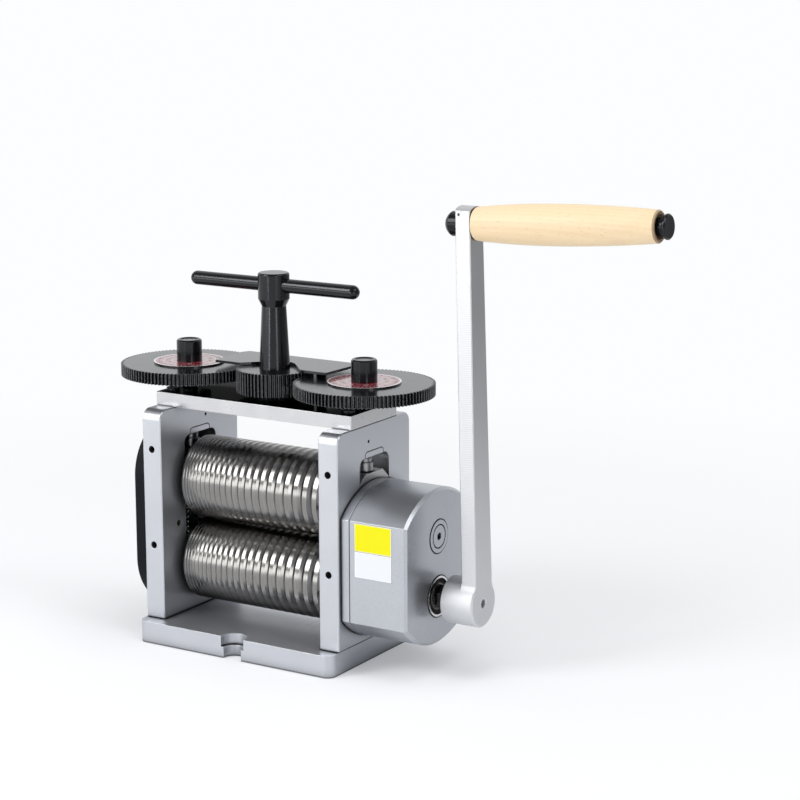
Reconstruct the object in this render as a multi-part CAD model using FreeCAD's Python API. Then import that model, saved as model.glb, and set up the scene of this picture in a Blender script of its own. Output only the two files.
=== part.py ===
"""Hand-cranked jewellers rolling mill: grooved wire rolls, geared screw-down and a reduction gearbox.

Frame: +X runs along the rolls towards the crank, -Y is the feed side, +Z is up.
The origin is the centre of the base underside. All lengths are millimetres.
"""
import FreeCAD, Part
import math
import os

from FreeCAD import Matrix, Placement, Rotation, Vector

# ---- cheeks and base -----------------------------------------------------------------------
CHEEK_GAP = 110.0               # clear width between the two cheeks
CHEEK_THICKNESS = 13.0
CHEEK_DEPTH = 77.0              # front to back
CHEEK_CORNER_RADIUS = 6.0
CHEEK_EDGE_CHAMFER = 0.6
CHEEK_FOOT_CHAMFER = 0.5        # round the foot, along the joint with the base
BASE_THICKNESS = 13.0
BASE_LEDGE = 8.5                # base reaches this far past the cheeks, front and back
BASE_CORNER_RADIUS = 5.2
CLAMP_NOTCH_RADIUS = 8.0        # half-round bite for the clamp bolt's head
CLAMP_SLOT_RADIUS = 6.2         # narrower bite for its shank
CLAMP_SHELF_HEIGHT = 6.5
CLAMP_NOTCH_DEPTH = 1.2         # how far the bite's centre lies inside the front edge

# ---- rolls and their bearings --------------------------------------------------------------
ROLL_RADIUS = 24.6
ROLL_NIP = 0.8                  # daylight between the rolls in the rest position
LOWER_ROLL_OVER_BASE = 30.4
ROLL_END_GAP = 3.8              # roll end to cheek
ROLL_END_CHAMFER = 0.6
COLLAR_RADIUS = 13.0
COLLAR_GAP = 0.3                # shoulder collar to bearing block
JOURNAL_RADIUS = 10.0
STUB_RADIUS = 8.0               # turned-down end that carries a gear
STUB_FLAT_OFFSET = 6.8          # driving flat, from the shaft axis
RUNNING_CLEARANCE = 0.05
FIRST_GROOVE_FROM_END = 1.9
FIRST_GROOVE_WIDTH = 0.6
GROOVE_WIDTH_STEP = 0.15        # every groove is this much wider than the last
FIRST_GROOVE_PITCH = 1.9
GROOVE_PITCH_STEP = 0.232
LAST_LAND_WIDTH = 1.0

# ---- windows, blocks and springs ------------------------------------------------------------
WINDOW_WIDTH = 31.5
WINDOW_CORNER_RADIUS = 5.0
BLOCK_SIDE_CLEARANCE = 0.1
BLOCK_FACE_CLEARANCE = 0.2      # block to cheek face, both sides
BLOCK_BELOW_AXIS = 15.0
UPPER_BLOCK_ABOVE_AXIS = 16.9
LOWER_BLOCK_ABOVE_AXIS = 15.0
BLOCK_CHAMFER_WIDTH = 6.5
BLOCK_CHAMFER_HEIGHT = 5.5
BUSH_WALL = 2.5
WINDOW_HEADROOM = 9.7           # over the upper block, in the rest position
NUT_SLOT_WIDTH = 20.0
NUT_SLOT_HEIGHT = 3.7
NUT_SLOT_CORNER_RADIUS = 2.8
NUT_BODY_WIDTH = 16.0
NUT_BODY_THICKNESS = 9.0
NUT_BODY_HEIGHT = 11.0
NUT_POCKET_CLEARANCE = 0.1
CROWN_HEIGHT = 15.3             # cheek above the nut slot
SPRING_WIRE_RADIUS = 0.6
SPRING_RADIUS = 2.6
SPRING_FROM_BLOCK_SIDE = 6.15
SPRING_TURNS = 6
SPRING_END_GAP = 0.05

# ---- top plate and screw-down gears ----------------------------------------------------------
TOP_PLATE_THICKNESS = 8.0
TOP_PLATE_DEPTH = 49.0
SCREW_RADIUS = 4.95
SCREW_HOLE_CLEARANCE = 0.5
SCREW_FOOT_HEIGHT = 5.6
SCREW_NECK_RADIUS = 4.1
SCREW_NECK_HEIGHT = 2.0
SCREW_FOOT_GAP = 0.05
GEAR_SPINDLE_RADIUS = 4.5       # upper end of the pressure screw, inside gear and knob
PINION_TEETH = 58
SCREW_GEAR_TEETH = 106
GEAR_OVER_PLATE = 7.6
SCREW_GEAR_THICKNESS = 7.0
GEAR_HUB_RADIUS = 12.5
GEAR_HUB_HEIGHT = 4.0
GEAR_BACKLASH = 0.08
PINION_OVER_PLATE = 3.4
PINION_HEIGHT = 13.4
DIAL_RADIUS = 21.2
DIAL_THICKNESS = 0.9
KNOB_RADIUS = 7.5
KNOB_HEIGHT = 13.6              # over the gear
KNOB_CHAMFER = 0.9
KNOB_DISH_RADIUS = 5.0
KNOB_DISH_DEPTH = 0.5
KNOB_DIAL_CLEARANCE = 0.1
KNOB_BORE_DEPTH = 9.0

# ---- T-handle ---------------------------------------------------------------------------------
COLUMN_FOOT_RADIUS = 9.0
COLUMN_WAIST_RADIUS = 7.1
COLUMN_WAIST_HEIGHT = 36.6      # over the pinion
HEAD_CONE_HEIGHT = 4.2
HEAD_RADIUS = 9.15
HEAD_HEIGHT = 15.2
HEAD_EDGE_RADIUS = 1.2
HANDLE_BAR_RADIUS = 4.1
HANDLE_BAR_HALF_LENGTH = 58.1
HANDLE_BAR_BELOW_TOP = 7.3
HANDLE_SPIGOT_RADIUS = 7.5      # inside the pinion
HANDLE_JOURNAL_RADIUS = 6.0     # inside the bush
HANDLE_BUSH_WALL = 2.5
HANDLE_BUSH_FLANGE_RADIUS = 14.0
HANDLE_AXIAL_CLEARANCE = 0.2

# ---- keeper plate over the pinion ----------------------------------------------------------------
KEEPER_CLEARANCE = 0.3
KEEPER_THICKNESS = 1.5
KEEPER_DIAL_CLEARANCE = 1.5     # front corners to the dials' rims, seen from above
KEEPER_FLARE = 1.6              # the back is this much longer at each end
KEEPER_FRONT_Y = -4.9
KEEPER_BACK_MARGIN = 8.2        # standoffs to the back edge
KEEPER_CORNER_LENGTH = 2.5      # cut off each back corner along X
KEEPER_CORNER_DEPTH = 5.2       # and along Y
KEEPER_NOTCH_HALF_WIDTH = 21.2
KEEPER_NOTCH_RADIUS = 12.0
STANDOFF_RADIUS = 3.0
STANDOFF_RIVET_RADIUS = 1.75    # both its ends, riveted through the keeper and into the plate
STANDOFF_ROOT = 5.0
STANDOFF_PINION_GAP = 2.1
STANDOFF_ANGLE_DEG = 46.5       # seen from above, from +X about the handle's axis

# ---- roll-coupling gears and their cover (left side) -----------------------------------------
COUPLING_TEETH = 16
COUPLING_ADDENDUM = 2.05
COUPLING_DEDENDUM = 2.35
COUPLING_GEAR_WIDTH = 7.0
COUPLING_GEAR_FROM_CHEEK = 1.0
COUPLING_SLACK = 0.5            # centres may close by this before the teeth have only their backlash
COUPLING_BACKLASH = 0.12
CLIP_THICKNESS = 1.0
CLIP_WALL = 1.6
STUB_PAST_CLIP = 1.0
COVER_GEAR_GAP = 3.5            # tooth tips to the cover's wall
COVER_DEPTH = 12.5
COVER_WALL = 1.5
COVER_FACE_WALL = 1.5
COVER_EDGE_RADIUS = 1.4
COVER_RISE = 1.9                # cover arcs lie this far above the roll axes
COVER_POST_RADIUS = 3.6
COVER_POST_INSET = 9.3          # from the cover's straight side

# ---- gearbox (right side) ------------------------------------------------------------------------
LAYSHAFT_CENTRES = 35.0         # both stages share it, so crank and lower roll are coaxial
FIRST_STAGE_TEETH = (17, 35)    # crank pinion, layshaft gear
SECOND_STAGE_TEETH = (15, 25)   # layshaft pinion, final gear on the roll
BOX_GEAR_HEADROOM = 0.6         # layshaft gear to the housing's upper wall
BOX_SIDE_ROOM = 12.0            # final gear's teeth to the outside of each flat
BOX_ARC_OFFSET = 3.2            # each arc's centre lies this far beyond the axis
BOX_FLANGE_THICKNESS = 5.6
BOX_WALL = 2.2
BOX_END_WALL = 4.0
BOX_EDGE_CHAMFER = 1.6
BOX_JOINT_CHAMFER = 0.4         # on flange and housing where they meet
BOX_GEAR_GAP = 1.3              # side clearance beside and between the gears
FINAL_GEAR_WIDTH = 10.4
FIRST_GEAR_WIDTH = 8.4
LAYSHAFT_RADIUS = 6.0
LAYSHAFT_BUSH_WALL = 2.5
LAYSHAFT_BUSH_LENGTH = 6.2
LAYSHAFT_BOSS_RADIUS = 12.4
PLUG_RADIUS = 9.5
PLUG_LENGTH = 5.6
PLUG_PROUD = 0.3
PLUG_GROOVE_RADIUS = 7.1
PLUG_GROOVE_WIDTH = 0.8
PLUG_GROOVE_DEPTH = 1.2
PLUG_HEX_ACROSS = 4.0
PLUG_HEX_DEPTH = 3.0
CRANK_BEARING_RADIUS = 11.7
CRANK_BEARING_LENGTH = 12.2
CRANK_BEARING_GEAR_GAP = 2.1
CRANK_BOSS_WALL = 3.2
RIM_GROOVE_WIDTH = 0.7          # in the housing's end, round the bearing and the plug
RIM_GROOVE_DEPTH = 0.9
SEAL_RADIUS = 10.5
SEAL_DEPTH = 3.0
SEAL_RECESS = 0.7
BEARING_PROUD = 0.4
BOX_BOLT_INSET = 6.0            # from the outside of each flat
BOX_BOLT_BEYOND_SHAFTS = 8.5    # above the layshaft's axis and below the crank's
BOX_BOLT_BOSS_RADIUS = 4.4
BOX_BOLT_REACH = 10.0           # into the housing boss
BOX_BOLT_BOSS_BOTTOM = 2.5

# ---- crank and grip -------------------------------------------------------------------------------
CRANK_SHAFT_RADIUS = 8.0
CRANK_SHOULDER_CHAMFER = 0.6    # where the round shaft ends and the hexagon begins
CRANK_PINION_SEAT_RADIUS = 6.5
CRANK_HEX_ACROSS = 12.0
CRANK_BOSS_RADIUS = 13.5
CRANK_BOSS_CHAMFER = 1.0
CRANK_BOSS_FROM_BOX = 9.0
CRANK_BOSS_LENGTH = 20.3
CRANK_HEX_ENGAGEMENT = 11.4
CRANK_SCREW_RADIUS = 2.5
CRANK_SCREW_RECESS = 3.5
CRANK_SCREW_CHAMFER = 0.5       # at the mouth of its hole
CRANK_SCREW_HEX_ACROSS = 2.5
CRANK_SCREW_HEX_DEPTH = 2.5
ARM_THICKNESS = 9.3
ARM_FOOT_WIDTH = 18.6
ARM_ROOT_RADIUS = 6.0           # hollow curves from the arm's sides to the boss
ARM_TOP_WIDTH = 14.5
ARM_LENGTH = 222.8              # crank axis to the top of the arm
ARM_LEAN_DEG = 1.7              # the arm leans in towards the mill
ARM_BEND_HEIGHT = 16.0          # it stands straight up to this height over the crank axis
ARM_TOP_ARC_RADIUS = 13.0
ARM_EDGE_CHAMFER = 0.5
ARM_PIN_RADIUS = 0.8            # small pin hole in the arm's front face, at the grip's bolt
ARM_PIN_INSET = 2.2             # from the arm's inner face
ARM_PIN_RISE = 5.3              # over the grip's axis
ARM_PIN_DEPTH = 2.0
GRIP_AXIS_FROM_TOP = 9.6        # top of the arm to the grip's axis, at the arm's outer face
GRIP_TILT_DEG = 3.0
GRIP_LENGTH = 108.5
GRIP_ARM_GAP = 0.5
GRIP_END_RADIUS = 9.3
GRIP_BELLY_RADIUS = 11.3
GRIP_BELLY_FROM_ARM = 0.42      # share of the grip's length
GRIP_TAIL_RADIUS = 8.8
GRIP_ROUNDING = 1.0
GRIP_TAIL_ROUNDING = 0.8
GRIP_BOLT_RADIUS = 3.5
GRIP_BORE_CLEARANCE = 0.1
GRIP_SEAT_GAP = 0.17            # bolt head to the arm, which is not quite square to the bolt
GRIP_RECESS_RADIUS = 6.7
GRIP_RECESS_DEPTH = 5.0
BOLT_HEAD_RADIUS = 6.9
BOLT_HEAD_STRAIGHT = 4.8        # below its dome
BOLT_HEAD_DOME = 4.2
CAP_RADIUS = 6.85
CAP_THICKNESS = 2.2
CAP_GAP = 3.2                   # grip end to cap
CAP_EDGE_CHAMFER = 0.7
CAP_NECK_RADIUS = 4.9
CAP_NECK_FLOOR_GAP = 0.5        # neck to the floor of the grip's recess

# ---- fasteners and labels ------------------------------------------------------------------------
SIDE_HOLE_RADIUS = 2.1          # tapped holes in the cheeks' front and back edges
SIDE_HOLE_DEPTH = 14.0
SIDE_HOLE_FROM_TOP = 23.5       # upper holes to the top of the cheek
SIDE_HOLE_SPACING = 57.7
OIL_HOLE_RADIUS = 1.0
OIL_HOLE_Y = 6.0
PLATE_SCREW_INSET = 8.0
PLATE_SCREW = (2.5, 4.0, 2.2, 18.0)     # shank radius, head radius, head height, length
BASE_SCREW_INSET = 13.5
BASE_SCREW = (3.0, 5.0, 5.5, 18.0)
BOX_SCREW = (2.0, 3.5, 4.0)             # shank radius, head radius, head height
COVER_SCREW = (2.0, 3.6, 2.4, 19.0)
SCREW_SOCKET_SHARE = 0.55               # socket across flats, of the head's radius
HEAD_RECESS_CLEARANCE = 0.25
LABEL_THICKNESS = 0.12
LABEL_MARGIN = 3.6                      # from the flange joint, and from there on along X
LABEL_WIDTH = 24.0
LABEL_TOP_MARGIN = 0.9                  # below the top of the gearbox's flat
YELLOW_LABEL_HEIGHT = 16.0
WHITE_LABEL_HEIGHT = 14.8
LABEL_GAP = 0.3

# ---- places worked out from the sizes above -------------------------------------------------------
INNER_X = CHEEK_GAP / 2
OUTER_X = INNER_X + CHEEK_THICKNESS
SCREW_X = INNER_X + CHEEK_THICKNESS / 2
BASE_DEPTH = CHEEK_DEPTH + 2 * BASE_LEDGE
LOWER_ROLL_Z = BASE_THICKNESS + LOWER_ROLL_OVER_BASE
UPPER_ROLL_Z = LOWER_ROLL_Z + 2 * ROLL_RADIUS + ROLL_NIP
ROLL_END_X = INNER_X - ROLL_END_GAP
BLOCK_WIDTH = WINDOW_WIDTH - 2 * BLOCK_SIDE_CLEARANCE
SPRING_Y = BLOCK_WIDTH / 2 - SPRING_FROM_BLOCK_SIDE
BLOCK_IN_X = INNER_X + BLOCK_FACE_CLEARANCE
BLOCK_OUT_X = OUTER_X - BLOCK_FACE_CLEARANCE
BUSH_RADIUS = JOURNAL_RADIUS + BUSH_WALL
BUSH_BORE_RADIUS = JOURNAL_RADIUS + RUNNING_CLEARANCE
WINDOW_BOTTOM_Z = LOWER_ROLL_Z - BLOCK_BELOW_AXIS
LOWER_BLOCK_TOP_Z = LOWER_ROLL_Z + LOWER_BLOCK_ABOVE_AXIS
UPPER_BLOCK_BOTTOM_Z = UPPER_ROLL_Z - BLOCK_BELOW_AXIS
UPPER_BLOCK_TOP_Z = UPPER_ROLL_Z + UPPER_BLOCK_ABOVE_AXIS
WINDOW_TOP_Z = UPPER_BLOCK_TOP_Z + WINDOW_HEADROOM
NUT_SLOT_TOP_Z = WINDOW_TOP_Z + NUT_SLOT_HEIGHT
CHEEK_TOP_Z = NUT_SLOT_TOP_Z + CROWN_HEIGHT
PLATE_TOP_Z = CHEEK_TOP_Z + TOP_PLATE_THICKNESS
SIDE_HOLE_HIGH_Z = CHEEK_TOP_Z - SIDE_HOLE_FROM_TOP
SIDE_HOLE_LOW_Z = SIDE_HOLE_HIGH_Z - SIDE_HOLE_SPACING
PLATE_SCREW_Y = TOP_PLATE_DEPTH / 2 - PLATE_SCREW_INSET
BASE_SCREW_Y = CHEEK_DEPTH / 2 - BASE_SCREW_INSET
SCREW_HOLE_RADIUS = SCREW_RADIUS + SCREW_HOLE_CLEARANCE
GEAR_MODULE = 2 * SCREW_X / (PINION_TEETH + SCREW_GEAR_TEETH)
GEAR_BOTTOM_Z = PLATE_TOP_Z + GEAR_OVER_PLATE
GEAR_TOP_Z = GEAR_BOTTOM_Z + SCREW_GEAR_THICKNESS
PINION_BOTTOM_Z = PLATE_TOP_Z + PINION_OVER_PLATE
PINION_TOP_Z = PINION_BOTTOM_Z + PINION_HEIGHT
COLUMN_WAIST_Z = PINION_TOP_Z + COLUMN_WAIST_HEIGHT
HEAD_BOTTOM_Z = COLUMN_WAIST_Z + HEAD_CONE_HEIGHT
HEAD_TOP_Z = HEAD_BOTTOM_Z + HEAD_HEIGHT
HANDLE_BAR_Z = HEAD_TOP_Z - HANDLE_BAR_BELOW_TOP
KEEPER_BOTTOM_Z = PINION_TOP_Z + KEEPER_CLEARANCE
KEEPER_TOP_Z = KEEPER_BOTTOM_Z + KEEPER_THICKNESS
STANDOFF_FROM_AXIS = GEAR_MODULE * (PINION_TEETH / 2 + 1) + STANDOFF_PINION_GAP + STANDOFF_RADIUS
STANDOFF_X = STANDOFF_FROM_AXIS * math.cos(math.radians(STANDOFF_ANGLE_DEG))
STANDOFF_Y = STANDOFF_FROM_AXIS * math.sin(math.radians(STANDOFF_ANGLE_DEG))
KEEPER_HALF_LENGTH_FRONT = SCREW_X - DIAL_RADIUS - KEEPER_DIAL_CLEARANCE
KEEPER_HALF_LENGTH_BACK = KEEPER_HALF_LENGTH_FRONT + KEEPER_FLARE
KEEPER_BACK_Y = STANDOFF_Y + KEEPER_BACK_MARGIN
COVER_SCREW_Z = (LOWER_ROLL_Z + UPPER_ROLL_Z) / 2
COUPLING_RADIUS = (UPPER_ROLL_Z - LOWER_ROLL_Z - COUPLING_SLACK) / 2
COUPLING_TIP_RADIUS = COUPLING_RADIUS + COUPLING_ADDENDUM
COUPLING_ROOT_RADIUS = COUPLING_RADIUS - COUPLING_DEDENDUM
COVER_RADIUS = COUPLING_TIP_RADIUS + COVER_GEAR_GAP + COVER_WALL
COVER_POST_Y = COVER_RADIUS - COVER_POST_INSET
COUPLING_OUT_X = OUTER_X + COUPLING_GEAR_FROM_CHEEK + COUPLING_GEAR_WIDTH
LAYSHAFT_Z = LOWER_ROLL_Z + LAYSHAFT_CENTRES
FIRST_MODULE = 2 * LAYSHAFT_CENTRES / sum(FIRST_STAGE_TEETH)
SECOND_MODULE = 2 * LAYSHAFT_CENTRES / sum(SECOND_STAGE_TEETH)
LAYSHAFT_GEAR_TIP_RADIUS = FIRST_MODULE * (FIRST_STAGE_TEETH[1] / 2 + 1)
FINAL_GEAR_TIP_RADIUS = SECOND_MODULE * (SECOND_STAGE_TEETH[1] / 2 + 1)
BOX_AXIS_Z = (LOWER_ROLL_Z + LAYSHAFT_Z) / 2
BOX_TOP_Z = LAYSHAFT_Z + LAYSHAFT_GEAR_TIP_RADIUS + BOX_GEAR_HEADROOM + BOX_WALL
BOX_ARC_RADIUS = BOX_TOP_Z - BOX_AXIS_Z + BOX_ARC_OFFSET
BOX_FLAT_Y = FINAL_GEAR_TIP_RADIUS + BOX_SIDE_ROOM
BOX_BOLT_Y = BOX_FLAT_Y - BOX_BOLT_INSET
BOX_SPLIT_X = OUTER_X + BOX_FLANGE_THICKNESS
FINAL_GEAR_X = BOX_SPLIT_X + BOX_GEAR_GAP
FIRST_GEAR_X = FINAL_GEAR_X + FINAL_GEAR_WIDTH + 2 * BOX_GEAR_GAP
CRANK_BEARING_X = FIRST_GEAR_X + FIRST_GEAR_WIDTH + CRANK_BEARING_GEAR_GAP
BOX_END_X = CRANK_BEARING_X + CRANK_BEARING_LENGTH
BOX_CAVITY_END_X = BOX_END_X - BOX_END_WALL
CRANK_BOSS_X = BOX_END_X + CRANK_BOSS_FROM_BOX
CRANK_END_X = CRANK_BOSS_X + CRANK_BOSS_LENGTH
CRANK_HEX_END_X = CRANK_BOSS_X + CRANK_HEX_ENGAGEMENT
ARM_TOP_Z = LOWER_ROLL_Z + ARM_LENGTH
GRIP_AXIS_RADIUS = ARM_LENGTH - GRIP_AXIS_FROM_TOP
GRIP_AXIS_Z = LOWER_ROLL_Z + GRIP_AXIS_RADIUS
GRIP_AXIS = Vector(math.cos(math.radians(GRIP_TILT_DEG)), 0, math.sin(math.radians(GRIP_TILT_DEG)))

PRESSURE_ANGLE = math.radians(20)
FLANK_POINTS = 4
X_AXIS = Vector(1, 0, 0)
Y_AXIS = Vector(0, 1, 0)
Z_AXIS = Vector(0, 0, 1)


# ---- helpers ------------------------------------------------------------------------------------
def box(x0, x1, y0, y1, z0, z1):
    """Axis-aligned block between two corners."""
    return Part.makeBox(x1 - x0, y1 - y0, z1 - z0, Vector(x0, y0, z0))


def rod_x(radius, x0, x1, y, z):
    """Cylinder along X from x0 to x1."""
    return Part.makeCylinder(radius, x1 - x0, Vector(x0, y, z), X_AXIS)


def rod_z(radius, x, y, z0, z1):
    """Cylinder along Z from z0 to z1."""
    return Part.makeCylinder(radius, z1 - z0, Vector(x, y, z0), Z_AXIS)


def ring_x(outer, inner, x0, x1, y, z):
    """Tube along X."""
    return rod_x(outer, x0, x1, y, z).cut(rod_x(inner, x0, x1, y, z))


def hex_x(across, x0, x1, y, z):
    """Hexagonal bar along X, two corners up and down."""
    corner = across / math.sqrt(3)
    points = []
    for side in range(7):
        angle = math.radians(60 * side)
        points.append(Vector(x0, y + corner * math.sin(angle), z + corner * math.cos(angle)))
    return Part.Face(Part.makePolygon(points)).extrude(Vector(x1 - x0, 0, 0))


def hex_z(across, x, y, z0, z1):
    """Hexagonal bar along Z."""
    corner = across / math.sqrt(3)
    points = []
    for side in range(7):
        angle = math.radians(60 * side)
        points.append(Vector(x + corner * math.cos(angle), y + corner * math.sin(angle), z0))
    return Part.Face(Part.makePolygon(points)).extrude(Vector(0, 0, z1 - z0))


def slab_x(outline, x0, x1):
    """Prism along X from a closed outline of (y, z) points."""
    points = [Vector(x0, y, z) for y, z in outline]
    return Part.Face(Part.makePolygon(points + points[:1])).extrude(Vector(x1 - x0, 0, 0))


def edges_along(shape, axis, keep):
    """Straight edges of a shape that run along an axis and whose middle passes a test."""
    found = []
    for edge in shape.Edges:
        ends = [vertex.Point for vertex in edge.Vertexes]
        if len(ends) != 2 or not isinstance(edge.Curve, Part.Line):
            continue
        run = (ends[1] - ends[0]).normalize()
        if abs(abs(run.dot(axis)) - 1) < 1e-6 and keep((ends[0] + ends[1]) / 2):
            found.append(edge)
    return found


def mirrored_x(shape):
    """The same piece on the other side of the mill."""
    return shape.mirror(Vector(0, 0, 0), X_AXIS)


def turned_half(shape):
    """The same piece turned half a turn about the mill's vertical axis."""
    other = shape.copy()
    other.rotate(Vector(0, 0, 0), Z_AXIS, 180)
    return other


def revolved_x(outline, y, z):
    """Solid of revolution about an X axis, from (x, radius) points that start and end on the axis."""
    points = [Vector(x, y, z + radius) for x, radius in outline]
    face = Part.Face(Part.makePolygon(points + points[:1]))
    return face.revolve(Vector(0, y, z), X_AXIS, 360)


def revolved_z(outline, x, y):
    """Solid of revolution about a Z axis, from (radius, z) points."""
    points = [Vector(x + radius, y, z) for radius, z in outline]
    face = Part.Face(Part.makePolygon(points + points[:1]))
    return face.revolve(Vector(x, y, 0), Z_AXIS, 360)


def cap_screw(screw, socket_depth_share=0.6):
    """Socket-head screw on the origin: head towards +Z with its seat at z = 0, shank down."""
    shank, head, height, length = screw
    body = rod_z(shank, 0, 0, -length, 0).fuse(rod_z(head, 0, 0, 0, height)).removeSplitter()
    rim = [edge for edge in body.Edges if edge.BoundBox.ZMin > height - 1e-6]
    body = body.makeChamfer(0.12 * head, rim)
    depth = height * socket_depth_share
    return body.cut(hex_z(2 * head * SCREW_SOCKET_SHARE, 0, 0, height - depth, height))


def placed(shape, position, direction=Z_AXIS):
    """A copy moved to a position, its own +Z turned to a direction."""
    copy = shape.copy()
    copy.Placement = Placement(position, Rotation(Z_AXIS, direction))
    return copy


def involute(angle):
    """Involute function of a pressure angle."""
    return math.tan(angle) - angle


def gear_z(teeth, pitch_radius, tip, root, width, backlash, first_tooth_deg=0.0):
    """Spur gear along +Z on the origin.

    On the pitch radius a tooth fills half the pitch, less its backlash.
    The flanks are chords of the involute, so they never stand outside it.
    """
    base_radius = pitch_radius * math.cos(PRESSURE_ANGLE)
    pitch_half = math.pi / (2 * teeth) - backlash / (2 * pitch_radius)
    flank_start = max(base_radius, root)
    flank = []
    if root < base_radius:
        flank.append((root, pitch_half + involute(PRESSURE_ANGLE)))
    for step in range(FLANK_POINTS):
        radius = flank_start + (tip - flank_start) * step / (FLANK_POINTS - 1)
        here = math.acos(base_radius / radius)
        flank.append((radius, pitch_half + involute(PRESSURE_ANGLE) - involute(here)))
    corners = []
    for tooth in range(teeth):
        centre = math.radians(first_tooth_deg) + 2 * math.pi * tooth / teeth
        for radius, half in flank:
            corners.append(Vector(radius * math.cos(centre - half), radius * math.sin(centre - half), 0))
        for radius, half in reversed(flank):
            corners.append(Vector(radius * math.cos(centre + half), radius * math.sin(centre + half), 0))
    return Part.Face(Part.makePolygon(corners + corners[:1])).extrude(Vector(0, 0, width))


def standard_gear_z(teeth, module, width, backlash, first_tooth_deg=0.0):
    """Full-depth spur gear along +Z on the origin."""
    pitch_radius = teeth * module / 2
    tip = pitch_radius + module
    root = pitch_radius - 1.25 * module
    return gear_z(teeth, pitch_radius, tip, root, width, backlash, first_tooth_deg)


def laid_along_x(shape, x, y, z):
    """A piece built along +Z on the origin, laid along +X; its own +X then points down."""
    copy = shape.copy()
    copy.rotate(Vector(0, 0, 0), Y_AXIS, 90)
    copy.translate(Vector(x, y, z))
    return copy


def flatted_stub(x0, x1, y, z, clearance=0.0):
    """Shaft end with one driving flat on top; with a clearance it is the hole for it."""
    radius = STUB_RADIUS + clearance
    flat = STUB_FLAT_OFFSET + clearance
    stub = rod_x(radius, x0, x1, y, z)
    return stub.cut(box(x0, x1, y - 2 * radius, y + 2 * radius, z + flat, z + 2 * radius))


def group(solids):
    """Several separate solids in one node."""
    return Part.makeCompound(list(solids))


# ---- frame: base, cheeks, top plate -------------------------------------------------------------
def base_plate():
    """Flat base with a stepped half-round clamp notch front and back and counterbored screw holes."""
    half = BASE_DEPTH / 2
    plate = box(-OUTER_X, OUTER_X, -half, half, 0, BASE_THICKNESS)
    plate = plate.makeFillet(BASE_CORNER_RADIUS, edges_along(plate, Z_AXIS, lambda middle: True))
    for side in (-1, 1):
        centre = side * (half - CLAMP_NOTCH_DEPTH)
        for radius, low in ((CLAMP_NOTCH_RADIUS, CLAMP_SHELF_HEIGHT), (CLAMP_SLOT_RADIUS, 0)):
            bite = rod_z(radius, 0, centre, low, BASE_THICKNESS)
            mouth_y = sorted((centre, side * (half + radius)))
            bite = bite.fuse(box(-radius, radius, mouth_y[0], mouth_y[1], low, BASE_THICKNESS))
            plate = plate.cut(bite)
    shank, head, height = BASE_SCREW[:3]
    for x in (-SCREW_X, SCREW_X):
        for y in (-BASE_SCREW_Y, BASE_SCREW_Y):
            plate = plate.cut(rod_z(head + HEAD_RECESS_CLEARANCE, x, y, 0, height + HEAD_RECESS_CLEARANCE))
            plate = plate.cut(rod_z(shank, x, y, 0, BASE_THICKNESS))
    return plate


def base_screws():
    """Four screws up through the base into the cheeks."""
    height = BASE_SCREW[2]
    screw = cap_screw(BASE_SCREW)
    seat = height + HEAD_RECESS_CLEARANCE
    places = [(x, y) for x in (-SCREW_X, SCREW_X) for y in (-BASE_SCREW_Y, BASE_SCREW_Y)]
    return group(placed(screw, Vector(x, y, seat), Vector(0, 0, -1)) for x, y in places)


def window_outline(width, bottom, top, radius, x0, x1):
    """Slot through a cheek with two round top corners."""
    slot = box(x0, x1, -width / 2, width / 2, bottom, top)
    corners = edges_along(slot, X_AXIS, lambda middle: middle.z > top - 1e-6)
    return slot.makeFillet(radius, corners)


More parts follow.
